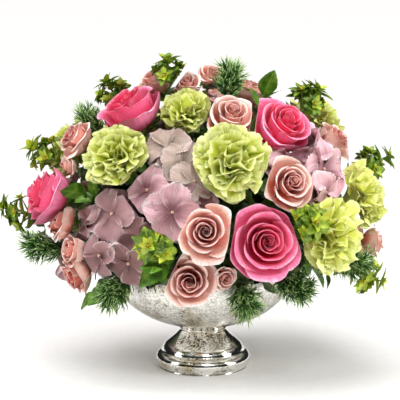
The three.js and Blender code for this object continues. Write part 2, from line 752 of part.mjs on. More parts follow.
// A sprig along its own stem, whose core runs on through the leaves.
function laySprig(sprig, room, make, material) {
  const toward = direction([sprig.az, sprig.el]);
  const axis = direction(sprig.face ?? [sprig.az, sprig.el]);
  const turn = placed([sprig.az, sprig.el, sprig.from]);
  const along = (distance) => turn.clone().addScaledVector(axis, distance - sprig.from);
  const frame = frameAt(along(0), axis, between(0, 2 * Math.PI));
  const place = addPlace(sprig.name, along(0.4 * sprig.from + 0.6 * sprig.to), room, 36);
  const bare = addStem(sprig.name, inFoam(toward), turn.clone().addScaledVector(toward, 1), stemRadii.sprig);
  const core = addStem(sprig.name, turn, along(sprig.to - 7), stemRadii.core);
  const tuft = { place, frame, make: (hasRoom) => make(sprig, hasRoom) };
  pieces.push({ name: sprig.name, material, stems: [bare, core], tufts: [tuft] });
}

for (const rose of roses) layFlower(rose, 0.265 * rose.size, stemRadii.rose, makeRose, materials.rose);
for (const spray of sprays) laySpray(spray, (size) => 0.265 * size, makeSmallRose, materials.sprayRose);
for (const carnation of carnations) {
  layFlower(carnation, 14, stemRadii.carnation, makeCarnation, materials.carnation);
}
for (const head of hydrangeas) laySpray(head, () => 3.2, makeFloret, materials.hydrangea);
for (const sprig of needleSprigs) laySprig(sprig, 13, makeNeedles, materials.needles);
for (const sprig of greenSprigs) laySprig(sprig, 13, makeUmbels, materials.greens);
for (const sprig of leafSprigs) laySprig(sprig, 14, makeLeaves, materials.leaf);

// Shaping

const group = new THREE.Group();

function addMesh(name, solid, material) {
  const mesh = new THREE.Mesh(geometryOf(solid), material);
  mesh.name = name;
  group.add(mesh);
}

const filled = keepOut();
addMesh("bowl", makeBowl(), materials.glass);
addMesh("foam", makeFoam(), materials.foam);

for (const { name, material, stems: own, tufts } of pieces) {
  const cut = tufts.map(({ place, frame, make }) => {
    const solid = make(roomTest(place, frame)).transform(frame.elements);
    return clearOfStems(place, clipTo(place, solid)).subtract(filled);
  });
  const green = own.map(({ start, end, radius }) => {
    return solidOf(rod(start, end, radius, radius, stemSides(radius)));
  });
  addMesh(name, mainBody(union([...cut, ...green])), material);
}

export default group;
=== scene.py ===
import math

import bpy
import numpy as np
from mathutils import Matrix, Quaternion, Vector


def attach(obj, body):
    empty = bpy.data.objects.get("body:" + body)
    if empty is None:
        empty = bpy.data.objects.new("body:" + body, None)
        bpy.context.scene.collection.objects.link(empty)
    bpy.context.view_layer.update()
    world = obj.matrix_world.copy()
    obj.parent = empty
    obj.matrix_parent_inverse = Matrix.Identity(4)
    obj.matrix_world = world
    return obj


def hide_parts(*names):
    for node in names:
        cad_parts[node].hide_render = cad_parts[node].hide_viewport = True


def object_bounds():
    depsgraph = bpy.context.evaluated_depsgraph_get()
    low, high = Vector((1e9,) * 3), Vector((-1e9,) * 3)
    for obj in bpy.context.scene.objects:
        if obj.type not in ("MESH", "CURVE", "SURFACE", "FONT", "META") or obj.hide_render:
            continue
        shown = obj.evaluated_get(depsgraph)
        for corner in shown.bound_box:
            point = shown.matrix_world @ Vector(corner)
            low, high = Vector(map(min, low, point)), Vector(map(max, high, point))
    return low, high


bl_info = {
    "name": "Floral Table Centerpiece",
    "version": (1, 0, 0),
    "blender": (4, 5, 0),
    "location": "View3D > Sidebar > Centerpiece",
    "description": "Dresses the packed centerpiece: silvered glass bowl, moss, blooms, foliage and stage",
    "category": "Object",
}

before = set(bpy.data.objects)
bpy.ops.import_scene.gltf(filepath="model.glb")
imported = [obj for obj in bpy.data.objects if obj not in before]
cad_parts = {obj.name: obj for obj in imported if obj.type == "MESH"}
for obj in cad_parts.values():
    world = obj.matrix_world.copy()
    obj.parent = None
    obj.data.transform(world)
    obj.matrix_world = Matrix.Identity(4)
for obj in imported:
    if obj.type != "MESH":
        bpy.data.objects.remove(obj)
CAD_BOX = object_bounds()

# Everything is laid out in millimetres and turned to metres where a mesh is made.
# Z is up, the camera side is -Y, and every stem points at the heart of the foam.

HEART = np.array([0.0, 0.0, 120.0])
NECK_HEIGHT, RIM_HEIGHT = 43, 103
CROWN_RADIUS = 101

# The gaps between two pieces, above the moss and off the bowl

GAP, MOSS_GAP, BOWL_GAP = 0.35, 0.5, 0.8

# A bloom is drawn this wide, and nothing of it hangs lower than its foot, before it takes its size

BLOOM_WIDTH, BLOOM_FOOT = 68, -40

# A bloom's room, which sets where the planes between it and its neighbours lie, and its reach, both as
# shares of its size. Then a sprig's reach.

BLOOM_ROOM, BLOOM_REACH, SPRIG_REACH = 0.47, 0.6, 36

# How far from the heart stems start, how far up a spray's stem its branches start, and how far below a
# bloom's middle its stem ends, for roses as a share of their size

STEM_START, FORK_SHARE = 42, 0.72
ROSE_HIP, CARNATION_SLEEVE, FLORET_STALK = 0.265, 14, 3.2
STEM_RADII = {"rose": 2.2, "carnation": 1.8, "spray": 1.7, "trunk": 1.8, "branch": 1.3, "sprig": 1.4}

# Where the random rolls start, the golden angle, the same rounded for leaves and twigs, and a whole turn
# as it is drawn

SEED = 20
GOLDEN, LEAF_STEP, ROUND = 2.39996, 2.4, 6.28

# The places of these materials in each piece's list: its petals or needles come first, as 0

STEM_SLOT, LEAF_SLOT, BEAD_SLOT = 1, 2, 3

# Blooms are (azimuth, elevation, reach, size, face). Azimuth 0 faces the camera and 90 faces +X, in
# degrees. Reach is how far the bloom's middle is from the heart. Face is where it looks, if not along
# its stem.

ROSES = {
    "rose_front": (25, 13, 141, 69, (12, 12)),
    "rose_upper_right": (58, 55, 160, 68, (38, 42)),
    "rose_upper_left": (-70, 62, 164, 70, (-72, 58)),
    "rose_left": (-78, 21, 170, 64, (-80, 22)),
    "rose_back": (174, 9, 146, 72),
    "rose_back_right": (138, 50, 158, 72),
    "rose_back_left": (-136, 24, 156, 72),
}
SPRAYS = {
    "spray_rose_front": [
        (1, 18, 138, 51, (-2, 14)),
        (-6, -3, 121, 47, (-4, 4)),
        (10, -2, 116, 24, (24, -8)),
    ],
    "spray_rose_right": [(40, 33, 152, 50, (24, 22))],
    "spray_rose_crown": [(29, 68, 152, 52, (16, 50))],
    "spray_rose_upper_left": [(-81, 42, 172, 42, (-70, 36)), (-76, 33, 162, 24, (-60, 0))],
    "spray_rose_lower_left": [
        (-72, 14, 152, 40, (-84, 24)),
        (-61, 5, 143, 36, (-64, 10)),
        (-63, -5, 140, 43, (-70, -24)),
    ],
    "spray_rose_top": [
        (-101, 74, 174, 38, (-60, 60)),
        (-50, 83, 168, 30, (-10, 50)),
        (150, 84, 174, 30, (30, 60)),
    ],
    "spray_rose_far_top": [(128, 69, 166, 42)],
    "spray_rose_far_right": [(90, 40, 172, 42, (70, 32))],
    "spray_rose_low_right": [(83, 4, 170, 32, (86, 0)), (98, 0, 158, 40)],
    "spray_rose_back": [(-164, 1, 142, 50), (-143, -1, 142, 44)],
    "spray_rose_back_top": [(170, 58, 162, 50), (-137, 51, 160, 50)],
}
CARNATIONS = {
    "carnation_left": (-47, 43, 154, 66, (-34, 30)),
    "carnation_middle": (14, 45, 146, 76, (8, 34)),
    "carnation_top": (-24, 74, 148, 56, (-14, 62)),
    "carnation_right": (53, 12, 156, 74, (44, 8)),
    "carnation_far_right": (78, 21, 168, 66, (84, 20)),
    "carnation_upper_right": (104, 48, 174, 56),
    "carnation_back_right": (141, 11, 152, 76),
    "carnation_back": (165, 36, 152, 78),
    "carnation_back_left": (-106, 36, 164, 72),
    "carnation_back_middle": (-161, 37, 152, 80),
}


def direction(azimuth, elevation):
    a, e = math.radians(azimuth), math.radians(elevation)
    return np.array([math.sin(a) * math.cos(e), -math.cos(a) * math.cos(e), math.sin(e)])


def leaning(lean, turn):
    """The way that leans so far from Z, towards turn, both in radians."""
    return np.array([math.sin(lean) * math.cos(turn), math.sin(lean) * math.sin(turn), math.cos(lean)])


def turned_to(axis, roll=0.0):
    """The rotation whose Z axis lies along axis, as a 3 by 3 array."""
    turn = Vector((0, 0, 1)).rotation_difference(Vector(axis)) @ Quaternion((0, 0, 1), roll)
    return np.array(turn.to_matrix())


def florets_round(azimuth, elevation, reach, size):
    """A middle floret with four more round it, all looking outward."""
    frame_at = turned_to(direction(azimuth, elevation))
    florets = [(azimuth, elevation, reach, size)]
    for k in range(4):
        x, y, z = frame_at @ leaning(size / reach, math.pi / 2 * k + 0.5)
        florets.append((math.degrees(math.atan2(x, -y)), math.degrees(math.asin(z)), reach - 8, size))
    return florets


HYDRANGEAS = {
    "hydrangea_left": [
        (-46, 23, 132, 58, (-34, 16)),
        (-48, 5, 134, 42, (-44, -8)),
        (-35, 3, 124, 44, (-26, -12)),
        (-31, 15, 122, 42, (-20, 6)),
        (-60, 18, 134, 40, (-66, 16)),
    ],
    "hydrangea_middle": [
        (-31, 36, 128, 50, (-30, 20)),
        (-15, 27, 126, 54, (-8, 12)),
        (-5, 42, 126, 48, (4, 26)),
        (-28, 57, 134, 46, (-20, 40)),
        (-14, 51, 128, 46, (-4, 36)),
        (-2, 33, 118, 42, (6, 10)),
    ],
    "hydrangea_right": [
        (54, 44, 146, 46, (44, 34)),
        (66, 35, 156, 54, (54, 24)),
        (76, 44, 160, 46, (72, 36)),
        (59, 25, 152, 44, (50, 12)),
    ],
    "hydrangea_top": florets_round(-168, 74, 152, 42),
    "hydrangea_back_left": florets_round(-106, 10, 150, 50),
    "hydrangea_back_right": florets_round(110, 18, 152, 46),
}

# Sprigs are (azimuth, elevation, where the leaves start, where they end, face).

NEEDLES = {
    "needles_left": (-75, 4, 136, 186),
    "needles_upper_left": (-90, 49, 140, 190),
    "needles_top": (78, 81, 150, 192),
    "needles_low_left": (-42, -8, 104, 146, (-52, -24)),
    "needles_low_front": (19, -8, 104, 140, (22, -42)),
    "needles_low_right": (42, -5, 106, 156, (46, -16)),
    "needles_far_right": (66, 1, 132, 180, (68, -4)),
    "needles_back": (157, -7, 104, 146, (155, -30)),
    "needles_back_left": (-129, -7, 106, 156, (-130, -20)),
}
GREENS = {
    "greens_front": (-20, 12, 120, 150),
    "greens_right": (38, 17, 148, 176),
    "greens_upper_left": (-86, 32, 166, 198),
    "greens_left": (-85, 13, 170, 203),
    "greens_top_left": (-98, 60, 162, 192),
    "greens_top": (-72, 79, 164, 194),
    "greens_upper_right": (90, 55, 166, 196),
    "greens_far_right": (91, 27, 170, 206),
    "greens_low_right": (71, -4, 150, 184, (74, -16)),
    "greens_back": (-178, 27, 138, 172),
}
LEAVES = {
    "leaves_top": (86, 69, 142, 168),
    "leaves_front": (-19, 3, 116, 134),
    "leaves_left": (-64, 27, 124, 146),
    "leaves_low_left": (-54, -8, 104, 132, (-50, -30)),
    "leaves_back": (120, -7, 104, 130, (120, -30)),
}

# From 0, dusty, by 0.5, clear pink, to 1, cream. The left head's dusty tint is partly its own colour
# and partly painted shade, as it lies on the less lit side

HYDRANGEA_TINTS_AND_SHADE = {
    "hydrangea_left": -0.06,
    "hydrangea_middle": 0.25,
    "hydrangea_top": 0.8,
    "hydrangea_back_left": 0.3,
}
CLEAR_PINK, CREAM = 0.5, 1.0
CREAM_ABOVE = 200

# How far out the salmon heart of a spray rose reaches, beside the others. Partly the roses' own
# variety and partly painted light and shade: less far on the crown and right sprays, painted paler as
# if more lit, and further on the front and lower left ones, painted deeper as if in shade

SPRAY_BLUSH_AND_LIGHT = {
    "spray_rose_crown": 0.62,
    "spray_rose_right": 0.82,
    "spray_rose_far_right": 0.75,
    "spray_rose_front": 1.06,
    "spray_rose_lower_left": 1.35,
}

# Painted light: the carnations on the right and at the top are painted paler, as if more brightly lit.
# From 0, green in the folds, partly painted shade, to 1, creamy all over

CARNATION_PAINTED_LIGHT = {
    "carnation_right": 1.0,
    "carnation_far_right": 1.0,
    "carnation_upper_right": 0.95,
    "carnation_top": 0.88,
}

# How much fresher than the rest a sprig's green is, and how large its umbels are

PLAIN_GREENS = (0.01, 1.05)
GREENS_LOOK = {
    "greens_front": (0.08, 1.2),
    "greens_right": (0.08, 1.2),
    "greens_upper_left": (0.1, 1.1),
    "greens_low_right": (0.14, 1.0),
    "greens_back": (0.1, 1.2),
}

LEAF_WIDTHS = {
    "leaves_top": 27,
    "leaves_front": 30,
    "leaves_left": 28,
    "leaves_low_left": 30,
    "leaves_back": 32,
}

# The bowl's outside, as (radius, height): the disc it stands on, the bell above that, the bead at the
# neck and where the belly starts. Then the crown of moss.

DISC = [(0, 0), (40.6, 0), (43.6, 0.7), (46.2, 3), (47.6, 6), (48, 8.8), (47.3, 12), (45, 15), (42.6, 16.4)]
BELL = [(41.6, 17.4), (40.6, 20.2), (38.2, 23.8), (34.8, 26.8), (31.4, 29.6), (28.2, 32.4), (25.4, 35.2)]
BEAD = [(23, 37.4), (22, 38.4), (22.4, 38.8), (23.2, 39.2), (23.3, 39.9), (22.8, 40.6), (22, 41.3)]
FOOT = DISC + BELL + BEAD + [(23.4, 42.6), (29.2, 45)]
CROWN = [(97, 104.5), (101, 122), (95, 150), (75, 182), (38, 206), (0, 212)]


# Where each piece lies


def seeded(start):
    """Even random numbers, the same in every run."""
    state = start
    low = 0xFFFFFFFF
    while True:
        state = ((state ^ (state >> 15)) * (1 | state) + 0x6D2B79F5) & low
        mixed = ((state ^ (state >> 14)) * (61 | state)) & low
        yield ((mixed ^ (mixed >> 13)) & low) / 4294967296


rolls = seeded(SEED)


class Place:
    """One bloom or tuft: its piece, its middle, its turn, its size and the room that it takes."""

    def __init__(self, piece, middle, axis, room, reach, size=0.0):
        self.piece, self.middle, self.axis = piece, middle, axis
        self.room, self.reach, self.size = room, reach, size
        self.turn = turned_to(axis, 2 * math.pi * next(rolls))


places = []
stems = {}


def places_of(piece):
    return [place for place in places if place.piece == piece]


def in_foam(toward):
    return HEART + STEM_START * toward


def unit(vector):
    return vector / np.linalg.norm(vector)


def lay_bloom(piece, azimuth, elevation, reach, size, face=None):
    """The place of a bloom that looks along its stem, or where face says."""
    middle = HEART + reach * direction(azimuth, elevation)
    axis = direction(*(face or (azimuth, elevation)))
    places.append(Place(piece, middle, axis, BLOOM_ROOM * size, BLOOM_REACH * size, size))
    return places[-1]


def lay_flower(piece, bloom, depth, radius):
    """One bloom on its stem, which ends depth below the bloom's middle."""
    place = lay_bloom(piece, *bloom)
    foot = place.middle - depth * place.axis
    stems[piece] = [(in_foam(unit(foot - HEART)), foot, radius)]


def lay_spray(piece, blooms, depth):
    """Blooms on one stem, which forks above the moss. Depth says how far below a bloom its stem ends."""
    laid = [lay_bloom(piece, *bloom) for bloom in blooms]
    feet = [place.middle - depth(place.size) * place.axis for place in laid]
    if len(feet) == 1:
        stems[piece] = [(in_foam(unit(feet[0] - HEART)), feet[0], STEM_RADII["spray"])]
        return
    mean = np.mean(feet, axis=0) - HEART
    toward = unit(mean)
    fork = HEART + toward * max(FORK_SHARE * np.linalg.norm(mean), CROWN_RADIUS + 3)
    trunk = (in_foam(toward), fork + 2 * toward, STEM_RADII["trunk"])
    stems[piece] = [trunk] + [(fork, foot, STEM_RADII["branch"]) for foot in feet]


def lay_sprig(piece, room, azimuth, elevation, start, end, face=None):
    """A sprig with leaves from start to end, both counted from the heart."""
    toward = direction(azimuth, elevation)
    axis = direction(*(face or (azimuth, elevation)))
    foot = HEART + start * toward
    place = Place(piece, foot + (0.6 * (end - start)) * axis, axis, room, SPRIG_REACH)
    place.foot, place.length = foot, end - start
    places.append(place)
    stems[piece] = [(in_foam(toward), foot + toward, STEM_RADII["sprig"])]


for name, bloom in ROSES.items():
    lay_flower(name, bloom, ROSE_HIP * bloom[3], STEM_RADII["rose"])
for name, blooms in SPRAYS.items():
    lay_spray(name, blooms, lambda size: ROSE_HIP * size)
for name, bloom in CARNATIONS.items():
    lay_flower(name, bloom, CARNATION_SLEEVE, STEM_RADII["carnation"])
for name, blooms in HYDRANGEAS.items():
    lay_spray(name, blooms, lambda size: FLORET_STALK)
for sprigs, room in ((NEEDLES, 13), (GREENS, 13), (LEAVES, 14)):
    for name, sprig in sprigs.items():
        lay_sprig(name, room, *sprig)


def walls_round(place):
    """The planes that part a place from those of other pieces, as unit normals and offsets."""
    walls = []
    for other in places:
        to_other = other.middle - place.middle
        apart = np.linalg.norm(to_other)
        if other.piece == place.piece or apart >= other.reach + place.reach:
            continue
        power = other.middle @ other.middle - other.room**2 - place.middle @ place.middle + place.room**2
        walls.append((to_other / apart, power / (2 * apart) - GAP / 2))
    return walls


def crowded(inside, margin):
    """Depths inside a wall, where what is nearer than margin, or past it, is packed into that margin."""
    packed = margin * np.exp((np.minimum(inside, margin) - margin) / margin)
    return np.where(inside < margin, packed, inside)


CROWN_LEVELS = [math.atan2(z - HEART[2], r) for r, z in CROWN]
CROWN_REACHES = [math.hypot(z - HEART[2], r) for r, z in CROWN]


def belly_radius(z, width=92, depth=59, widest=101):
    return width * np.sqrt(np.clip(1 - ((widest - z) / depth) ** 2, 0, 1))


def off_the_bowl(points):
    """Pushes points out of the crown of moss and out of the bowl."""
    out = points - HEART
    reach = np.linalg.norm(out, axis=1)
    level = np.arctan2(out[:, 2], np.hypot(out[:, 0], out[:, 1]))
    crown = np.interp(level, CROWN_LEVELS, CROWN_REACHES) + MOSS_GAP
    grown = crown + crowded(reach - crown, 4)
    above = points[:, 2] > RIM_HEIGHT + 1
    points = np.where(above[:, None], HEART + out * (grown / reach)[:, None], points)
    level_reach = np.hypot(points[:, 0], points[:, 1])
    bowl = belly_radius(points[:, 2]) + BOWL_GAP
    wider = bowl + crowded(level_reach - bowl, 3)
    beside = (points[:, 2] <= RIM_HEIGHT + 1) & (points[:, 2] > NECK_HEIGHT)
    scale = np.where(beside, wider / level_reach, 1.0)
    return points * np.column_stack([scale, scale, np.ones(len(points))])


def in_the_box(points):
    """Keeps points inside the size of the solids."""
    low, high = (np.array(corner) * 1000 for corner in CAD_BOX)
    points = high - crowded(high - points, 3.0)
    return low + crowded(points - low, 3.0)


def pressed(points, place, margin=5.0):
    """Petals against their neighbours: points are kept to the place's own room."""
    walls = walls_round(place)
    for _ in range(2):
        for normal, offset in walls:
            inside = offset - points @ normal
            points = points + np.outer(inside - crowded(inside, margin), normal)
    return in_the_box(off_the_bowl(points))


# Sheets of petal and leaf, gathered into one mesh for each piece


class Gathered:
    """What one piece is made of: its points, its faces, and what each point tells its material."""

    def __init__(self):
        self.points, self.marks, self.faces, self.slots, self.count = [], [], [], [], 0

    def add(self, points, marks, faces, slot=0):
        self.points.append(points.reshape(-1, 3))
        self.marks.append(marks.reshape(-1, 4))
        self.faces.append(faces + self.count)
        self.slots.append(np.full(len(faces), slot))
        self.count += self.points[-1].shape[0]

    def piece(self, name, nodes, slot, materials):
        """Makes the object, in metres, riding on the body and standing for its nodes."""
        mesh = bpy.data.meshes.new(name)
        points = np.concatenate(self.points) * 0.001
        corners = np.concatenate([faces.ravel() for faces in self.faces])
        sizes = np.concatenate([np.full(len(faces), faces.shape[1]) for faces in self.faces])
        mesh.vertices.add(len(points))
        mesh.vertices.foreach_set("co", points.astype(np.float32).ravel())
        mesh.loops.add(len(corners))
        mesh.loops.foreach_set("vertex_index", corners.astype(np.int32))
        mesh.polygons.add(len(sizes))
        mesh.polygons.foreach_set("loop_start", (np.cumsum(sizes) - sizes).astype(np.int32))
        mesh.polygons.foreach_set("material_index", np.concatenate(self.slots).astype(np.int32))
        mesh.polygons.foreach_set("use_smooth", np.ones(len(sizes), bool))
        marks = np.concatenate(self.marks).astype(np.float32)
        along = mesh.attributes.new("petal", "FLOAT_VECTOR", "POINT")
        along.data.foreach_set("vector", marks[:, :3].ravel())
        depth = mesh.attributes.new("whorl", "FLOAT", "POINT")
        depth.data.foreach_set("value", np.ascontiguousarray(marks[:, 3]))
        mesh.update(calc_edges=True)
        mesh.validate()
        for material in materials:
            mesh.materials.append(material)
        made = bpy.data.objects.new(name, mesh)
        bpy.context.scene.collection.objects.link(made)
        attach(made, "root")
        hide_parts(*nodes)
        return made


GRIDS = {}


def grid_faces(across, along):
    """The quads of a sheet with so many steps across and along."""
    if (across, along) not in GRIDS:
        corner = np.arange((across + 1) * (along + 1)).reshape(along + 1, across + 1)
        quads = [corner[:-1, :-1], corner[:-1, 1:], corner[1:, 1:], corner[1:, :-1]]
        GRIDS[across, along] = np.stack(quads, axis=-1).reshape(-1, 4)
    return GRIDS[across, along]


def sheet(surface, across, along, tone=0.5, whorl=0.0):
    """Points, marks and faces of a sheet: surface(u, v), u from -1 to 1 across and v from 0 to 1 along."""
    u, v = np.meshgrid(np.linspace(-1, 1, across + 1), np.linspace(0, 1, along + 1))
    points = np.stack(surface(u, v), axis=-1).reshape(-1, 3)
    marks = np.stack([u, v, np.full_like(u, tone), np.full_like(u, whorl)], axis=-1).reshape(-1, 4)
    return points, marks, grid_faces(across, along)


def swung(out, side, turn):
    """The x and y of what lies so far out, and so far to the side, once it is turned about Z."""
    x, y = np.cos(turn), np.sin(turn)
    return out * x - side * y, out * y + side * x


def smooth_curve(points, share):
    """A smooth line through evenly timed points."""
    points = np.asarray(points, float)
    last = len(points) - 1
    padded = np.vstack([2 * points[0] - points[1], points, 2 * points[-1] - points[-2]])
    x = np.clip(share, 0, 1) * last
    i = np.minimum(x.astype(int), last - 1)
    f = (x - i)[..., None]
    a, b, c, d = (padded[i + k] for k in range(4))
    return 0.5 * (2 * b + (c - a) * f + (2 * a - 5 * b + 4 * c - d) * f**2 + (3 * b - a - 3 * c + d) * f**3)


def lathe(profile, across, along, lowest=0.0):
    """A round skin through a smooth profile of (radius, height)."""

    def surface(u, v):
        rz = smooth_curve(profile, v)
        radius, height = np.maximum(rz[..., 0], 0.0), np.maximum(rz[..., 1], lowest)
        return radius * np.cos(np.pi * u), radius * np.sin(np.pi * u), height

    return sheet(surface, across, along)


def tube(points, radii, sides=8):
    """A round stem through points."""
    points = np.asarray(points, float)
    radii = np.broadcast_to(radii, len(points))
    ways = np.gradient(points, axis=0)
    side = np.cross(ways, [0.31, 0.17, 0.94])
    side /= np.linalg.norm(side, axis=1)[:, None]
    other = np.cross(ways, side)
    other /= np.linalg.norm(other, axis=1)[:, None]
    turn = np.linspace(0, 2 * np.pi, sides + 1)
    ring = np.cos(turn)[None, :, None] * side[:, None] + np.sin(turn)[None, :, None] * other[:, None]
    skin = points[:, None] + ring * radii[:, None, None]
    u, v = np.meshgrid(np.linspace(-1, 1, sides + 1), np.linspace(0, 1, len(points)))
    marks = np.stack([u, v, np.full_like(u, 0.5), np.zeros_like(u)], axis=-1)
    return skin.reshape(-1, 3), marks.reshape(-1, 4), grid_faces(sides, len(points) - 1)


def add_stems(gathered, piece, slot):
    for start, end, radius in stems[piece]:
        gathered.add(*tube(np.linspace(start, end, 4), radius), slot)


def place_sheet(gathered, place, made, slot=0, scale=1.0, margin=5.0):
    points, marks, faces = made
    world = place.middle + (points * scale) @ place.turn.T
    gathered.add(pressed(world, place, margin), marks, faces, slot)


# Blooms, each in its own frame: Z out of the bloom, 68 mm wide, origin in its middle

# How a rose opens, from the outside in: (petal, radius and height of its lip, how far the lip rolls
# back, half width in degrees). The petals lie in a spiral, and those between two of these have a form
# between theirs.

ROSE_FORM = [
    (0, 36, -2, 5, 60),
    (4, 33.5, 1.5, 4, 58),
    (5, 28, 7, 2.6, 68),
    (10, 18.5, 12.5, 1.5, 74),
    (16, 10.2, 16.2, 0.8, 80),
    (21, 5.4, 17.2, 0.4, 105),
]
SPRAY_FORM = [
    (0, 35.5, -1, 5.5, 60),
    (4, 33, 3, 4.5, 58),
    (5, 26.5, 9, 3, 66),
    (8, 20, 13, 2.2, 72),
    (13, 11, 16.5, 1.2, 80),
    (17, 6, 17.6, 0.6, 105),
]
BUD_FORM = [
    (0, 35, 6, 5, 58),
    (3, 30, 11, 4, 62),
    (6, 22, 17, 2.4, 76),
    (10, 13, 21.5, 1.2, 84),
    (12, 7.6, 22, 0.8, 112),
]


def cupped_petal(form, number, turn, draw, blush):
    """One petal of a rose: cupped, one edge tucked under its neighbour, its lip rolled back and waved."""
    numbers, *stops = zip(*form)
    radius, height, roll, half = (np.interp(number, numbers, stop) for stop in stops)
    radius *= draw.uniform(0.96, 1.03)
    height += draw.uniform(-1.8, 1.2)
    low = -23.5 + 0.14 * (35 - radius)
    rise = height - low
    open_out = 1.02 + 0.0016 * radius
    around = radius * np.array([0.16, 0.52, 0.8, 0.9, 0.95, open_out])
    upward = low + rise * np.array([0, 0.17, 0.46, 0.76, 0.95, 1.0])
    profile = np.column_stack([around, upward])
    phase, waves, point = draw.uniform(0, ROUND), draw.uniform(0.6, 1.6), draw.uniform(0.02, 0.09)
    slope = draw.uniform(-3.0, 3.0) * radius / 35
    spread = math.radians(half * draw.uniform(0.94, 1.04))
    tuck, rolled = 0.06 * radius + 0.8, roll * draw.uniform(0.6, 1.25)

    def surface(u, v):
        outline = 1 - 0.3 * np.abs(u) ** 3 + point * np.exp(-((u / 0.3) ** 2))
        along = v * outline
        rz = smooth_curve(profile, along / (1 + point))
        lip = along**6
        curl = rolled * lip * (0.35 + 0.65 * np.sin(np.pi * u) ** 2)
        ripple = np.sin(2.6 * u + phase) + 0.45 * np.sin(6.5 * u + 2 * phase)
        out = rz[..., 0] + tuck * u * along + curl + 0.5 * waves * along**3 * ripple
        high = rz[..., 1] - 0.8 * curl + waves * lip * ripple + slope * u * along**3
        angle = turn + spread * u * (0.6 + 0.4 * along)
        return out * np.cos(angle), out * np.sin(angle), high

    heart = 0.55 if form is BUD_FORM else 1.0
    return sheet(surface, 14, 12, draw.uniform(0, 1), heart * blush * number / (numbers[-1] + 1))


def rolled_core(height, turn, draw):
    """The furled heart of a rose: one strip rolled into a spiral."""
    turns = 1.9

    def surface(u, v):
        out = (u + 1) / 2
        radius = (0.7 + 4.0 * out) * (0.75 + 0.25 * v) + 0.5 * v**5
        angle = turn + turns * 2 * np.pi * out
        return radius * np.cos(angle), radius * np.sin(angle), -6 + (height + 5.2 - 1.6 * (1 - out)) * v

    return sheet(surface, 32, 6, draw.uniform(0, 1), 1.0)


def add_rose(gathered, place, form, draw):
    """Petals in a golden spiral round a furled heart, with its hip, sepals and leaves beneath."""
    # Painted light and shade: how far the salmon heart reaches differs from spray to spray
    scale, blush = place.size / BLOOM_WIDTH, SPRAY_BLUSH_AND_LIGHT.get(place.piece, 1.0)
    start = draw.uniform(0, ROUND)
    for number in range(form[-1][0] + 1):
        turn = start + GOLDEN * number + draw.uniform(-0.22, 0.22)
        place_sheet(gathered, place, cupped_petal(form, number, turn, draw, blush), 0, scale)
    place_sheet(gathered, place, rolled_core(form[-1][2], start, draw), 0, scale)
    add_calyx(gathered, place, scale, draw)
    add_collar(gathered, place, draw)


def in_a_bloom(piece, spot, but=None):
    """Whether a spot is inside a bloom of the piece, other than the one named."""
    own = [place for place in places_of(piece) if place is not but]
    return any(np.linalg.norm(spot - place.middle) < 0.5 * place.size for place in own)


def add_collar(gathered, place, draw, slim=0.58):
    """A few of the flower's own leaves, spread out beneath it."""
    size = place.size
    for k in range(4):
        turn = 2 * math.pi * k / 4 + draw.uniform(-0.5, 0.5)
        lean = draw.uniform(1.4, 1.8)
        way = leaning(lean, turn)
        start = place.middle + place.turn @ (np.array([0, 0, -0.32 * size - 5]) + 0.1 * size * way)
        if not in_a_bloom(place.piece, start + 0.4 * size * (place.turn @ way), place):
            add_leaf(gathered, place, start, place.turn @ way, place.turn[:, 2], 0.5 * size, slim, draw)


def add_leaf(gathered, place, start, way, up, length, slim, draw):
    """One leaf from start along way, its face towards up."""
    points, marks, faces = leaf_sheet(length, slim * length, draw)
    side = unit(np.cross(up, way))
    frame_at = np.column_stack([side, unit(np.cross(way, side)), way])
    gathered.add(pressed(start + points @ frame_at.T, place, 4.0), marks, faces, LEAF_SLOT)


def add_stem_leaves(gathered, piece, slim, draw):
    """Leaves along the stems of a piece, from the moss to its blooms."""
    for start, end, _ in stems[piece]:
        way = unit(end - start)
        place = min(places_of(piece), key=lambda one: np.linalg.norm(one.middle - end))
        for i, reach in enumerate(np.arange(CROWN_RADIUS + 2, np.linalg.norm(end - HEART) - 4, 9.0)):
            if reach < np.linalg.norm(start - HEART):
                continue
            spot = start + way * (reach - np.linalg.norm(start - HEART))
            lean = unit(0.5 * way + turned_to(way, LEAF_STEP * i + draw.uniform(-0.4, 0.4))[:, 0])
            if not in_a_bloom(piece, spot + 14 * lean):
                add_leaf(gathered, place, spot, lean, way, draw.uniform(20, 31), slim, draw)


def add_calyx(gathered, place, scale, draw):
    """The green hip under a rose, with five narrow sepals."""
    hip = [(0.1, -31), (2.6, -30), (5.2, -27), (6.4, -24.5), (5.6, -22)]
    place_sheet(gathered, place, lathe(hip, 12, 6, BLOOM_FOOT), STEM_SLOT, scale)
    for k in range(5):
        turn = 2 * math.pi * k / 5 + draw.uniform(-0.2, 0.2)
        reach = draw.uniform(18, 24)

        def sepal(u, v):
            width = 3.4 * (1 - v) ** 0.7 * u
            out = 5 + reach * v * (1 - 0.25 * v)
            high = -25.5 + 3 * np.sin(2.4 * v) - 5 * v**2 + 0.5 * np.abs(u)
            return *swung(out, width, turn), high

        place_sheet(gathered, place, sheet(sepal, 4, 8), STEM_SLOT, scale)


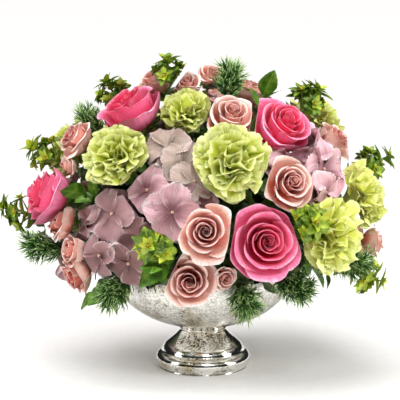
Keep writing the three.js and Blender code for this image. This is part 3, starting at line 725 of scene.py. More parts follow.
def ruffled_petal(polar, turn, draw, painted_paleness):
    """One petal of a carnation: a fan from the calyx, deeply ruffled, with a pinked edge."""
    size = draw.uniform(0.78, 1.08)
    base = np.array([0.0, 0.0, -21.0])
    end = np.array([34 * size * math.sin(polar), 0.0, -3 + 24 * size * math.cos(polar)])
    bend = np.array([0.42 * end[0], 0.0, 0.25 * end[2] + 5.0])
    width = draw.uniform(14, 20) * (0.8 + 0.2 * math.sin(polar))
    folds, phase, depth = draw.uniform(1.2, 2.2), draw.uniform(0, ROUND), draw.uniform(3.4, 6.0)
    sway, twist = draw.uniform(-6, 6), draw.uniform(-1.1, 1.1) * (1.25 - 0.6 * math.sin(polar))

    def surface(u, v):
        w = v[..., None]
        spine = base * (1 - w) ** 2 + 2 * bend * w * (1 - w) + end * w**2
        way = 2 * (bend - base) * (1 - w) + 2 * (end - bend) * w
        way = way / np.linalg.norm(way, axis=-1)[..., None]
        out = np.stack([way[..., 2], np.zeros_like(v), -way[..., 0]], axis=-1)
        fan = width * u * (0.12 + 0.88 * v**1.3)
        fold = depth * v**2 * np.sin(np.pi * folds * u + phase + 1.5 * v)
        fold = fold + 2.0 * v**5 * np.sin(8.5 * u + 3 * phase)
        teeth = 1.3 * v**10 * np.abs(np.sin(14 * u + phase)) - 3 * v * u**2 - 6 * v * u**6
        off, aside = swung(fold, fan, twist * v)
        spot = spine + out * off[..., None] + way * teeth[..., None]
        return *swung(spot[..., 0], aside + sway * v**2, turn), spot[..., 2]

    # Painted light: the bloom's painted paleness, as if more lit, overrides the paler middle
    return sheet(surface, 26, 9, draw.uniform(0, 1), max(painted_paleness, 0.8 * (1 - polar / 1.75)))


def add_carnation(gathered, place, draw, count):
    """A dome of ruffled petals over a sleeve-shaped calyx."""
    # Painted light: a bloom listed in the table is painted pale on every petal, as if more brightly lit
    scale, painted_paleness = place.size / BLOOM_WIDTH, CARNATION_PAINTED_LIGHT.get(place.piece, 0.0)
    for i in range(count):
        polar = 1.66 * ((i + 0.4) / count) ** 0.58
        turn = GOLDEN * i + draw.uniform(-0.4, 0.4)
        place_sheet(gathered, place, ruffled_petal(polar, turn, draw, painted_paleness), 0, scale)
    sleeve = [(0.1, -36), (3.6, -35), (5.4, -30), (6.2, -24), (7.8, -19)]
    place_sheet(gathered, place, lathe(sleeve, 14, 8, BLOOM_FOOT), STEM_SLOT, scale)
    add_collar(gathered, place, draw, 0.3)


def sepal_sheet(reach, turn, level, tint, draw, fine):
    """One broad sepal of a hydrangea floret: cupped, crumpled, with small teeth round its edge."""
    lift, droop, roll = draw.uniform(0.06, 0.34), draw.uniform(0.08, 0.34), draw.uniform(-0.3, 0.3)
    cup, long, phase = draw.uniform(0.08, 0.34), reach * draw.uniform(0.94, 1.05), draw.uniform(0, ROUND)
    along, across = (20, 12) if fine else (12, 8)

    def surface(u, v):
        # A tooth for every second step of the sheet, so that each keeps its point
        side_teeth = 1 + 0.11 * np.abs(np.sin(0.5 * np.pi * along * v)) * np.abs(u) ** 3
        tip_teeth = 0.06 * v**8 * np.abs(np.sin(0.25 * np.pi * across * (u + 1)))
        oval = (1 - np.abs(2 * v**0.8 - 1) ** 2.6) ** 0.45 * (1 - np.exp(-v / 0.26))
        half = long * (0.07 * (1 - v) + 0.5 * oval) * side_teeth
        out = long * (0.03 + 0.97 * v) * (1 - 0.06 * u**2 + tip_teeth)
        side = half * u
        height = level + long * (lift * v - droop * v**2.4 + cup * u**2 * np.sin(np.pi * v**0.8))
        crumple = np.sin(3.2 * u + 2.5 * v + phase) + 0.6 * np.sin(6.5 * u - 5 * v + 2 * phase)
        crease = np.exp(-((u / 0.1) ** 2)) * v
        height = height + side * roll + 0.04 * long * (v * crumple - crease)
        height = height + 0.06 * long * np.abs(u) ** 3 * np.sin(9 * v + 2 * phase)
        return *swung(out, side, turn), height - 1.2

    points, marks, faces = sheet(surface, across, along, draw.uniform(0, 1), tint)
    # The pale rim, partly the sepal's own colour and partly a painted highlight, runs all round the sepal,
    # so the second mark counts from its middle line too
    brim = (0.3 + 0.7 * marks[:, 0] ** 4) * np.minimum(marks[:, 1] / 0.3, 1)
    marks[:, 1] = np.maximum(marks[:, 1], brim)
    return points, marks, faces


def ball(radius, middle, tone=0.5):
    def surface(u, v):
        ring = radius * np.sin(np.pi * v)
        return (
            middle[0] + ring * np.cos(np.pi * u),
            middle[1] + ring * np.sin(np.pi * u),
            middle[2] - radius * np.cos(np.pi * v),
        )

    return sheet(surface, 7, 4, tone)


def add_floret(gathered, place, draw):
    """Four broad sepals round a bead, over the ones that fill the head."""
    reach = place.size * (0.68 if place.piece == "hydrangea_right" else 0.54)
    # Painted shade: the left head's darker, dusty tint stands partly for shade
    tint = HYDRANGEA_TINTS_AND_SHADE.get(place.piece, CLEAR_PINK) + draw.uniform(-0.15, 0.15)
    if place.piece == "hydrangea_middle" and place.middle[2] > CREAM_ABOVE:
        tint = CREAM
    # The floret, and two more beneath it that fill the head
    layers = [(1.0, 0.0, math.pi / 4), (0.95, -11, 0.1), (1.0, -18, draw.uniform(0.5, 1.1))]
    for shrink, sink, turn in layers:
        for k in range(4):
            level = sink + (0.7 if k % 2 else -0.3)
            way = turn + math.pi / 2 * k + draw.uniform(-0.1, 0.1)
            sepal = sepal_sheet(reach * shrink, way, level, tint, draw, sink == 0.0)
            place_sheet(gathered, place, sepal, 0, 1.0, 3.0)
    place_sheet(gathered, place, ball(1.9, (0, 0, 0.4)), BEAD_SLOT)
    place_sheet(gathered, place, tube([(0, 0, -9), (0, 0, -4), (0, 0, -0.5)], 1.1, 6), STEM_SLOT)


# Sprigs, in a frame whose Z runs up the sprig from its first leaves


def in_sprig(place, points):
    return place.foot + points @ place.turn.T


def place_on_sprig(gathered, place, made, slot, margin=5.0):
    points, marks, faces = made
    gathered.add(pressed(in_sprig(place, points), place, margin), marks, faces, slot)


def spikes(roots, tips, radius, draw):
    """Three-sided needles from roots to tips, each a little bowed."""
    count = len(roots)
    way = tips - roots
    side = np.cross(way, draw.normal(size=(count, 3)))
    side /= np.linalg.norm(side, axis=1)[:, None]
    other = np.cross(way, side)
    other /= np.linalg.norm(other, axis=1)[:, None]
    middle = roots + 0.55 * way + side * (0.1 * np.linalg.norm(way, axis=1))[:, None]
    rings = []
    for spot, thick in ((roots, radius), (middle, 0.8 * radius)):
        for k in range(3):
            angle = 2 * math.pi * k / 3
            rings.append(spot + thick * (math.cos(angle) * side + math.sin(angle) * other))
    points = np.stack([*rings, tips], axis=1).reshape(-1, 3)
    along = np.tile([0, 0, 0, 0.55, 0.55, 0.55, 1.0], count)
    tone = np.repeat(draw.uniform(0, 1, count), 7)
    marks = np.stack([np.zeros_like(along), along, tone, np.zeros_like(along)], axis=-1)
    first = 7 * np.arange(count)[:, None]
    quads = [first + np.array([k, (k + 1) % 3, 3 + (k + 1) % 3, 3 + k]) for k in range(3)]
    ends = [first + np.array([3 + k, 3 + (k + 1) % 3, 6]) for k in range(3)]
    return points, marks, np.concatenate(quads), np.concatenate(ends)


def add_spikes(gathered, place, roots, tips, radius, draw):
    points, marks, quads, ends = spikes(roots, tips, radius, draw)
    points = pressed(in_sprig(place, points), place, 4.0)
    start = gathered.count
    gathered.add(points, marks, quads, 0)
    gathered.faces.append(ends + start)
    gathered.slots.append(np.zeros(len(ends)))


def needle_fan(start, way, length, needle, count, draw):
    """Roots and tips of the needles round one twig."""
    way = unit(way)
    frame_at = turned_to(way)
    share = np.sort(draw.uniform(0, 1, count))
    turn = GOLDEN * np.arange(count) + draw.uniform(-0.3, 0.3, count)
    lean = 0.95 - 0.5 * share + draw.uniform(-0.12, 0.12, count)
    reach = needle * draw.uniform(0.75, 1.1, count) * (1 - 0.25 * share)
    out = np.stack([np.sin(lean) * np.cos(turn), np.sin(lean) * np.sin(turn), np.cos(lean)], axis=-1)
    roots = np.outer(share, length * np.array([0, 0, 1.0]))
    return start + roots @ frame_at.T, start + (roots + out * reach[:, None]) @ frame_at.T


def add_needles(gathered, place, draw):
    """A tip of evergreen: one long twig and eleven short ones round it, all set with needles."""
    length = place.length
    # Twigs are (start, way, length, length of their needles, how many of them)
    twigs = [(np.zeros(3), np.array([0, 0, 1.0]), length - 8, 23, 105)]
    for k in range(11):
        turn, share = LEAF_STEP * k + draw.uniform(-0.3, 0.3), 0.02 + 0.065 * k
        lean = draw.uniform(0.7, 1.25)
        way = np.array([lean * math.cos(turn), lean * math.sin(turn), 1.0])
        twigs.append((np.array([0, 0, share * length]), way, 21 - k, 20, 32))
    for start, way, long, needle, count in twigs:
        roots, tips = needle_fan(start, way, long, needle, count, draw)
        add_spikes(gathered, place, roots, tips, 0.62, draw)
        line = start + np.outer(np.linspace(0, long, 5), unit(way))
        place_on_sprig(gathered, place, tube(line, np.linspace(1.2, 0.5, 5), 6), STEM_SLOT)


def bract_sheet(reach, width, turn, rise, draw, fresh=0.0, across=6, along=8):
    """A pointed oval bract or small leaf that stands out from the middle. Fresh is how much lighter its
    green is."""
    droop, tone = draw.uniform(0.05, 0.25), draw.uniform(0, 1)

    def surface(u, v):
        half = width * np.sin(np.pi * v**0.7) ** 0.8 * (1 - 0.2 * v)
        height = reach * (rise * v - droop * v**2) + 0.35 * half * u**2
        return *swung(reach * v, half * u, turn), height

    return sheet(surface, across, along, tone, fresh)


def add_umbel(gathered, place, start, way, length, size, draw, fresh):
    """A ray with a ruff of pointed bracts and a bunch of tiny golden florets in its middle."""
    way = unit(way)
    frame_at = turned_to(way, draw.uniform(0, ROUND))
    end = start + length * way

    def put(made, slot):
        points, marks, faces = made
        place_on_sprig(gathered, place, (end + points @ frame_at.T, marks, faces), slot, 3.0)

    line = start + np.outer(np.linspace(0, length, 4), way)
    place_on_sprig(gathered, place, tube(line, np.linspace(1.0, 0.7, 4), 6), STEM_SLOT, 2.0)
    for k in range(7):
        long = size * draw.uniform(0.85, 1.2)
        turn = 2 * math.pi / 7 * k + draw.uniform(-0.3, 0.3)
        put(bract_sheet(long, 0.3 * long, turn, draw.uniform(0.0, 0.4), draw, fresh - 0.1), 0)
    for k in range(5):
        long = 0.62 * size * draw.uniform(0.85, 1.15)
        turn = 2 * math.pi / 5 * k + draw.uniform(-0.3, 0.3)
        put(bract_sheet(long, 0.4 * long, turn, draw.uniform(0.7, 1.2), draw, fresh + 0.1), 0)
    for k in range(8):
        turn, far = LEAF_STEP * k, 0.1 * size * math.sqrt(k)
        spot = (far * math.cos(turn), far * math.sin(turn), 1.4 + 0.1 * size - 0.1 * far)
        put(ball(0.07 * size, spot, draw.uniform(0, 1)), BEAD_SLOT)


def add_greens(gathered, place, draw, fresh, bold):
    """Rays of umbels up a sprig, with leaves between: fresh is how light the green is, and bold is how
    large the umbels are."""
    length = place.length
    core = np.outer(np.linspace(0, length - 8, 4), [0, 0, 1.0])
    place_on_sprig(gathered, place, tube(core, np.linspace(1.3, 1.0, 4), 6), STEM_SLOT)
    add_umbel(gathered, place, core[-1], np.array([0, 0, 1.0]), 8, 13.5 * bold, draw, fresh)
    # Rays are (height, length, lean, turn)
    rays = [(0, 24, 0.6, 0.6), (6, 20, 0.7, 3.4), (3, 17, 0.85, 2.1), (8, 15, 0.9, 5), (12, 14, 0.75, 1.2)]
    for height, long, lean, turn in rays:
        start, size = np.array([0, 0, float(height)]), bold * draw.uniform(10.5, 13.5)
        add_umbel(gathered, place, start, leaning(lean, turn), long, size, draw, fresh)
    for k in range(6):
        size, level = draw.uniform(15, 21), np.array([0, 0, 2 + 0.16 * length * k])
        points, marks, faces = bract_sheet(size, 8.5, LEAF_STEP * k, 0.5, draw, fresh - 0.08, 8, 10)
        place_on_sprig(gathered, place, (points + level, marks, faces), 0, 3.0)


def leaf_sheet(length, width, draw, across=8, along=12):
    """A broad leaf along +Z that faces +Y, folded on its midrib, with a softly toothed edge."""
    bow, phase, tone = draw.uniform(0.06, 0.2), draw.uniform(0, ROUND), draw.uniform(0, 1)

    def surface(u, v):
        teeth = 1 + 0.05 * np.abs(np.sin(20 * v + phase)) * np.abs(u)
        half = 0.5 * width * np.sin(np.pi * (0.02 + 0.98 * v) ** 0.8) ** 0.85 * (1.06 - 0.3 * v) * teeth
        side = half * u
        lift = 0.24 * half * np.abs(u) - bow * length * v**2 + 0.03 * width * np.sin(8 * v + phase) * u**2
        return side, lift, length * v

    return sheet(surface, across, along, tone)


def add_leaves(gathered, place, draw, width):
    """Six broad leaves up a stalk, one at its end."""
    length = place.length
    core = np.outer(np.linspace(0, length, 4), [0, 0, 1.0])
    place_on_sprig(gathered, place, tube(core, np.linspace(1.5, 1.0, 4), 6), STEM_SLOT)
    # Leaves are (height, lean, turn, size)
    leaves = [
        (length - 1, 0.35, 0.4, 1.0),
        (4, 0.9, 2.7, 1.0),
        (0.45 * length, 0.8, 4.6, 0.8),
        (0.7 * length, 0.6, 1.6, 0.75),
        (0.2 * length, 1.0, 5.6, 0.7),
        (0.3 * length, 0.95, 1.2, 0.7),
    ]
    for height, lean, turn, size in leaves:
        points, marks, faces = leaf_sheet(1.2 * width * size, 0.72 * width * size, draw, 12, 20)
        spot = np.array([0, 0, height]) + points @ turned_to(leaning(lean, turn), turn + 1.6).T
        place_on_sprig(gathered, place, (spot, marks, faces), 0, 4.0)


# The bowl and the crown of moss


def make_bowl(materials):
    """The footed bowl in one skin: up its outside, over the rim and down its inside."""
    gathered = Gathered()
    belly = [(belly_radius(z), z) for z in (48, 52, 57, 63, 70, 77, 84, 91, 97, 100)]
    rim = [(92, 101.6), (91.6, 102.8), (90.4, 103), (89.4, 102.4), (89, 101)]
    inner = [(belly_radius(z, 89, 54, 100), z) for z in (95, 88, 80, 72, 64, 57, 51)]
    bottom = [(14, 47.2), (0, 46.6)]
    profile = FOOT + [(float(r), z) for r, z in belly + rim + inner + bottom]
    gathered.add(*lathe(profile, 128, 3 * len(profile)))
    return gathered.piece("silvered_bowl", ["bowl"], "glass", materials)


def on_crown(azimuth, level, above):
    """A point over the crown, and the way out of it there."""
    reach = np.interp(level, CROWN_LEVELS, CROWN_REACHES) + above
    way = leaning(math.pi / 2 - level, azimuth)
    return HEART + reach * way, way


def make_crown(materials, leaf_length, draw):
    """The foam's plug in the bowl, a skin of moss over its crown, and small leaves set all over it."""
    gathered = Gathered()
    plug = [(0, 56), (48.4, 56), (70, 76), (78.6, 101), (80, 103.7), (94, 104), (98.5, 108), (100.4, 122)]
    crown = [(98.5, 137), (94, 150), (86.5, 166), (74, 181.5), (58, 193.5), (38, 204.5), (18, 209.5)]
    points, marks, faces = lathe(plug + crown + [(0, 210.5)], 96, 64)
    high = np.clip((points[:, 2] - 106) / 20, 0, 1)
    rough = 1 + 0.012 * high * np.sin(points * [0.9, 0.8, 0.7]).sum(axis=1)
    gathered.add((points - HEART) * rough[:, None] + HEART, marks, faces, 0)
    lowest, count = math.sin(CROWN_LEVELS[0]), 2300
    for i in range(count):
        level = math.asin(lowest + (1 - lowest) * (i + 0.5) / count)
        spot, out = on_crown(GOLDEN * i + draw.uniform(-0.1, 0.1), level, draw.uniform(-2, 3))
        lean = out + draw.uniform(-1.2, 1.2, 3)
        frame_at = turned_to(unit(lean), draw.uniform(0, ROUND))
        length = leaf_length * draw.uniform(0.6, 1.2)
        leaf, leaf_marks, leaf_faces = bract_sheet(length, 0.3 * length, 0.0, 0.6, draw, 0.0, 2, 4)
        gathered.add(spot + leaf @ frame_at.T, leaf_marks, leaf_faces, 1)
    return gathered.piece("mossy_crown", ["foam"], "foam", materials)


# Finishes

# How wide each flower's petals are and how far apart their veins run, in millimetres, then how far
# apart the marks of the other patterns are. The veins, the pile, the mottling and the grain are finer
# on the real things by half or more, and are drawn this coarse so that they show.

PETAL_VEINS = {
    "rose_petal": (75, 2.6),
    "spray_rose_petal": (52, 1.8),
    "carnation_petal": (40, 0.9),
    "hydrangea_sepal": (29, 0.75),
}
LEAF_PATCH = 7.7
MOSS_PILE = 2.38
FLORET_GRAIN = 1.43
GLASS_CLOUD = 26.3
GLASS_MOTTLE = 3.03
GLASS_FLECK = 1.92
PAPER_CLOUD = 11.1


def per_metre(millimetres):
    """How often a pattern with marks this far apart repeats in a metre."""
    return 1000 / millimetres


def linear(code):
    """An sRGB hex colour as linear red, green, blue."""
    channels = [int(code[i : i + 2], 16) / 255 for i in (1, 3, 5)]
    return tuple(c / 12.92 if c <= 0.04045 else ((c + 0.055) / 1.055) ** 2.4 for c in channels)


def add(tree, kind, inputs=None, stops=None, **settings):
    """Adds a node with its settings, and sets or links its inputs: a node given as input links its first
    output. Stops are those of its ramp."""
    node = tree.nodes.new(kind)
    for key, value in settings.items():
        setattr(node, key, value)
    for key, value in (inputs or {}).items():
        if isinstance(value, bpy.types.Node):
            tree.links.new(value.outputs[0], node.inputs[key])
        elif isinstance(value, bpy.types.NodeSocket):
            tree.links.new(value, node.inputs[key])
        else:
            node.inputs[key].default_value = value
    if stops:
        ramp = node.color_ramp
        while len(ramp.elements) < len(stops):
            ramp.elements.new(0.5)
        for element, (position, colour) in zip(ramp.elements, stops):
            element.position = position
            element.color = (*colour, 1.0) if len(colour) == 3 else colour
    return node


def blank(name):
    """A new material with no nodes, and its tree."""
    material = bpy.data.materials.new(name)
    material.use_nodes = True
    material.node_tree.nodes.clear()
    return material, material.node_tree


def surfaced(material, inputs):
    """Ends a material: its surface shader with these inputs, and its output."""
    surface = add(material.node_tree, "ShaderNodeBsdfPrincipled", inputs)
    add(material.node_tree, "ShaderNodeOutputMaterial", {0: surface})
    return material


def grey(value):
    return (value, value, value)


def petal_finish(name, colours, hearts, veins, vein_share, lip_heart, lip_start, body_start):
    """Living petal: thin, matt and faintly furred, so it glows a little and has no hard shine. It is
    deeper towards its foot, partly its own colour and partly painted shade in the folds, and paler at
    the lip, partly its own colour and partly a painted highlight, with fine veins that run from its foot.
    Hearts are stops from the outer whorl to the inner one: a colour, and as alpha how much of it."""
    deep, body, rim = colours
    material, tree = blank(name)
    petal = add(tree, "ShaderNodeAttribute", attribute_name="petal")
    parts = add(tree, "ShaderNodeSeparateXYZ", {0: petal.outputs["Vector"]})
    whorl = add(tree, "ShaderNodeAttribute", attribute_name="whorl")
    # A petal is 2 wide and 1 long in its marks, and the third mark gives each petal its own veins
    width, apart = PETAL_VEINS[name]
    stretch = (0.5 * width / apart, 1.92, 59.2)
    stretched = {0: petal.outputs["Vector"], 1: stretch}
    across = add(tree, "ShaderNodeVectorMath", stretched, operation="MULTIPLY")
    vein = add(tree, "ShaderNodeTexNoise", {"Vector": across, "Scale": 1.0, "Detail": 4.0})
    spread = {"Vector": petal.outputs["Vector"], "Scale": 2.3, "Detail": 2.0}
    blush = add(tree, "ShaderNodeTexNoise", spread)
    wander = add(tree, "ShaderNodeMath", {0: blush, 1: 0.3, 2: -0.15}, operation="MULTIPLY_ADD")
    shifted = add(tree, "ShaderNodeMath", {0: parts.outputs[1], 1: wander}, operation="ADD")
    # Painted shade and highlight: the deep colour towards the petal's foot stands partly for shade in the
    # folds, and the pale lip partly for a highlight
    stops = [(0.2, deep), (body_start, body), (lip_start, body), (1.0, rim)]
    lip = add(tree, "ShaderNodeValToRGB", {0: shifted}, stops)
    near = add(tree, "ShaderNodeValToRGB", {0: whorl.outputs["Fac"]}, hearts)
    fade = add(tree, "ShaderNodeMapRange", {0: shifted, 1: 0.72, 2: 1.05, 3: 1.0, 4: lip_heart})
    share = add(tree, "ShaderNodeMath", {0: near.outputs[1], 1: fade}, operation="MULTIPLY")
    inner = add(tree, "ShaderNodeMix", {0: share, 6: lip, 7: near}, data_type="RGBA")
    stops = [(0.47, grey(0)), (0.6, grey(vein_share))]
    lines = add(tree, "ShaderNodeValToRGB", {0: vein}, stops)
    veined = add(tree, "ShaderNodeMix", {0: lines, 6: inner.outputs[2], 7: (*veins, 1.0)}, data_type="RGBA")
    tone = add(tree, "ShaderNodeMapRange", {0: parts.outputs[2], 3: 0.86, 4: 1.12})
    toned = add(tree, "ShaderNodeHueSaturation", {"Value": tone, "Color": veined.outputs[2]})
    bump = add(tree, "ShaderNodeBump", {"Strength": 0.25, "Distance": 0.0006, "Height": vein})
    inputs = {
        "Base Color": toned,
        "Normal": bump,
        "Roughness": 0.57,
        "Specular IOR Level": 0.3,
        "Sheen Weight": 0.15,
        "Sheen Roughness": 0.4,
        "Subsurface Weight": 0.3,
        "Subsurface Radius": (1.0, 0.5, 0.4),
        "Subsurface Scale": 0.003,
    }
    return surfaced(material, inputs)


def toward(code):
    """Stops that turn a petal towards this colour in the inner whorls."""
    return [(0.16, (*linear(code), 0.0)), (0.5, (*linear(code), 0.75)), (0.9, (*linear(code), 0.95))]


def leaf_finish(name, dark, body, light, roughness=0.42):
    """Living leaf: its wax gives a soft shine. It has a pale midrib, side veins and lighter patches."""
    material, tree = blank(name)
    petal = add(tree, "ShaderNodeAttribute", attribute_name="petal")
    parts = add(tree, "ShaderNodeSeparateXYZ", {0: petal.outputs["Vector"]})
    where = add(tree, "ShaderNodeTexCoord")
    grown = {"Vector": where.outputs["Object"], "Scale": per_metre(LEAF_PATCH), "Detail": 4.0}
    patches = add(tree, "ShaderNodeTexNoise", grown)
    fresh = add(tree, "ShaderNodeAttribute", attribute_name="whorl")
    shade = add(tree, "ShaderNodeMath", {0: fresh.outputs["Fac"], 1: patches}, operation="ADD")
    base = add(tree, "ShaderNodeValToRGB", {0: shade}, [(0.3, dark), (0.52, body), (0.8, light)])
    side = add(tree, "ShaderNodeMath", {0: parts.outputs[0]}, operation="ABSOLUTE")
    midrib = add(tree, "ShaderNodeValToRGB", {0: side}, [(0.02, grey(0.5)), (0.14, grey(0))])
    slant = add(tree, "ShaderNodeMath", {0: side, 1: -0.35, 2: parts.outputs[1]}, operation="MULTIPLY_ADD")
    wave = add(tree, "ShaderNodeMath", {0: slant, 1: 60.0}, operation="MULTIPLY")
    ripple = add(tree, "ShaderNodeMath", {0: wave}, operation="SINE")
    rib = add(tree, "ShaderNodeValToRGB", {0: ripple}, [(0.86, grey(0)), (1.0, grey(0.175))])
    both = add(tree, "ShaderNodeMath", {0: midrib, 1: rib}, operation="MAXIMUM")
    ribbed = add(tree, "ShaderNodeMix", {0: both, 6: base, 7: (*light, 1.0)}, data_type="RGBA")
    tone = add(tree, "ShaderNodeMapRange", {0: parts.outputs[2], 3: 0.7, 4: 1.25})
    toned = add(tree, "ShaderNodeHueSaturation", {"Value": tone, "Color": ribbed.outputs[2]})
    bump = add(tree, "ShaderNodeBump", {"Strength": 0.3, "Distance": 0.0006, "Height": both})
    inputs = {
        "Base Color": toned,
        "Normal": bump,
        "Roughness": roughness,
        "Specular IOR Level": 0.45,
    }
    return surfaced(material, inputs)


def stem_finish(name, body, light):
    """Cut green stem: smooth, so it shines softly, and faintly streaked along its length."""
    material, tree = blank(name)
    petal = add(tree, "ShaderNodeAttribute", attribute_name="petal")
    stretched = {0: petal.outputs["Vector"], 1: (14.0, 2.0, 9.0)}
    across = add(tree, "ShaderNodeVectorMath", stretched, operation="MULTIPLY")
    streak = add(tree, "ShaderNodeTexNoise", {"Vector": across, "Scale": 1.5, "Detail": 3.0})
    colour = add(tree, "ShaderNodeValToRGB", {0: streak}, [(0.35, body), (0.7, light)])
    return surfaced(material, {"Base Color": colour, "Roughness": 0.5})


def needle_finish(name, dark, body, tip_and_highlight):
    """Evergreen needle: dark at the twig, partly its own colour and partly painted shade deep in the sprig,
    and pale towards its point, partly a bloom of wax and partly a painted highlight.
    """
    material, tree = blank(name)
    petal = add(tree, "ShaderNodeAttribute", attribute_name="petal")
    parts = add(tree, "ShaderNodeSeparateXYZ", {0: petal.outputs["Vector"]})
    along = {0: parts.outputs[2], 1: 0.4, 2: parts.outputs[1]}
    drift = add(tree, "ShaderNodeMath", along, operation="MULTIPLY_ADD")
    stops = [(0.15, dark), (0.75, body), (1.0, tip_and_highlight)]
    colour = add(tree, "ShaderNodeValToRGB", {0: drift}, stops)
    return surfaced(material, {"Base Color": colour, "Roughness": 0.5})


def moss_finish(name, dark, body, light):
    """Sheet moss over wet foam: a fine pile with no shine, dark between its brighter tips."""
    material, tree = blank(name)
    where = add(tree, "ShaderNodeTexCoord")
    tufts = {"Vector": where.outputs["Object"], "Scale": per_metre(MOSS_PILE), "Detail": 6.0}
    pile = add(tree, "ShaderNodeTexNoise", tufts)
    stops = [(0.35, dark), (0.55, body), (0.72, light)]
    colour = add(tree, "ShaderNodeValToRGB", {0: pile}, stops)
    bump = add(tree, "ShaderNodeBump", {"Strength": 0.8, "Distance": 0.002, "Height": pile})
    return surfaced(material, {"Base Color": colour, "Normal": bump, "Roughness": 0.95})


def floret_finish(name, shade, body):
    """Tiny waxy florets, softly shiny, mottled at random between a darker colour and a lighter one."""
    material, tree = blank(name)
    where = add(tree, "ShaderNodeTexCoord")
    spots = {"Vector": where.outputs["Object"], "Scale": per_metre(FLORET_GRAIN), "Detail": 2.0}
    grain = add(tree, "ShaderNodeTexNoise", spots)
    colour = add(tree, "ShaderNodeValToRGB", {0: grain}, [(0.35, shade), (0.6, body)])
    return surfaced(material, {"Base Color": colour, "Roughness": 0.5})


def silvered_glass(name, silver, warm, tarnish):
    """Mercury glass: blown glass with a silvered lining, mottled where it was etched and flecked where it
    lifted. The mottling frosts the belly, and the foot keeps a brighter mirror, which shows the dim walls
    and the bright boxes as dark and light bands. The glass itself is the coat."""
    material, tree = blank(name)
    where = add(tree, "ShaderNodeTexCoord")
    spot = where.outputs["Object"]
    grains = []
    etchings = [(GLASS_CLOUD, 5.0, 0.6), (GLASS_MOTTLE, 4.0, 0.7), (GLASS_FLECK, 1.5, 0.5)]
    for apart, detail, harsh in etchings:
        etching = {"Vector": spot, "Scale": per_metre(apart), "Detail": detail, "Roughness": harsh}
        grains.append(add(tree, "ShaderNodeTexNoise", etching))
    cloud, mottle, fleck = grains
    height = add(tree, "ShaderNodeSeparateXYZ", {0: spot})
    belly = add(tree, "ShaderNodeMapRange", {0: height.outputs[2], 1: 0.042, 2: 0.058, 3: 0.0, 4: 1.0})
    tint = add(tree, "ShaderNodeValToRGB", {0: cloud}, [(0.34, warm), (0.52, silver)])
    etched = add(tree, "ShaderNodeValToRGB", {0: mottle}, [(0.44, grey(0.4)), (0.58, grey(0))])
    on_belly = add(tree, "ShaderNodeMath", {0: etched, 1: belly}, operation="MULTIPLY")
    dull = (*linear("#8f8b80"), 1.0)
    mottled = add(tree, "ShaderNodeMix", {0: on_belly, 6: tint, 7: dull}, data_type="RGBA")
    # Most flecks lie on the neck, where the lining is thinnest: a ramp over the lowest 100 mm picks it out
    up = add(tree, "ShaderNodeMath", {0: height.outputs[2], 1: 10.0}, operation="MULTIPLY")
    stops = [(0.2, grey(0)), (0.28, grey(0.08)), (0.34, grey(0.08)), (0.385, grey(0))]
    neck = add(tree, "ShaderNodeValToRGB", {0: up}, stops)
    thicker = add(tree, "ShaderNodeMath", {0: fleck, 1: neck}, operation="ADD")
    stops = [(0.585, grey(0)), (0.625, grey(0.95))]
    specks = add(tree, "ShaderNodeValToRGB", {0: thicker}, stops)
    sparse = add(tree, "ShaderNodeValToRGB", {0: cloud}, [(0.42, grey(1)), (0.6, grey(0.3))])
    flecks = add(tree, "ShaderNodeMath", {0: specks, 1: sparse}, operation="MULTIPLY")
    mixed = {0: flecks, 6: mottled.outputs[2], 7: (*tarnish, 1.0)}
    flecked = add(tree, "ShaderNodeMix", mixed, data_type="RGBA")
    frost = add(tree, "ShaderNodeMapRange", {0: mottle, 1: 0.35, 2: 0.7, 3: 0.3, 4: 0.55})
    bright = add(tree, "ShaderNodeMapRange", {0: mottle, 1: 0.35, 2: 0.7, 3: 0.03, 4: 0.07})
    rough = add(tree, "ShaderNodeMix", {0: belly, 2: bright, 3: frost}, data_type="FLOAT")
    bump = add(tree, "ShaderNodeBump", {"Strength": 0.2, "Distance": 0.0008, "Height": mottle})
    inputs = {
        "Base Color": flecked.outputs[2],
        "Roughness": rough,
        "Normal": bump,
        "Metallic": 1.0,
        "Coat Weight": 0.4,
        "Coat Roughness": 0.04,
    }
    return surfaced(material, inputs)


def paper_sweep(name, code):
    """Matt paper under the bowl, with no shine and the faintest clouding."""
    material, tree = blank(name)
    where = add(tree, "ShaderNodeTexCoord")
    pulp = {"Vector": where.outputs["Object"], "Scale": per_metre(PAPER_CLOUD), "Detail": 2.0}
    grain = add(tree, "ShaderNodeTexNoise", pulp)
    light = linear(code)
    dark = tuple(0.97 * c for c in light)
    colour = add(tree, "ShaderNodeValToRGB", {0: grain}, [(0.3, dark), (0.7, light)])
    return surfaced(material, {"Base Color": colour, "Roughness": 0.9, "Specular IOR Level": 0.1})


# Settings that a user may change

# Each flower's deep colour is partly its own and partly painted shade in the folds and ruffles, and its lip
# or edge colour partly its own and partly a painted highlight
COLOURS = {
    "rose_deep": ("#ee4476", "Rose, deep in the folds"),
    "rose_body": ("#fb8fb8", "Rose petal"),
    "rose_rim": ("#ffc6da", "Rose lip"),
    "spray_deep": ("#e0705a", "Spray rose, deep in the folds"),
    "spray_body": ("#fbcfc0", "Spray rose petal"),
    "spray_rim": ("#fff6f0", "Spray rose lip"),
    "carnation_deep": ("#7f9400", "Carnation, deep in the ruffles"),
    "carnation_body": ("#c9d04a", "Carnation petal"),
    "carnation_rim": ("#f4f6b8", "Carnation edge"),
    "sepal_deep": ("#8a5560", "Hydrangea, near the middle"),
    "sepal_body": ("#ecc0c9", "Hydrangea sepal"),
    "sepal_rim": ("#fdf3f0", "Hydrangea edge"),
    "needle": ("#2c6414", "Evergreen needle"),
    "bract": ("#779a24", "Umbel bract"),
    "leaf": ("#4f8020", "Broad leaf"),
    "silver": ("#f7f5ef", "Silvering"),
}


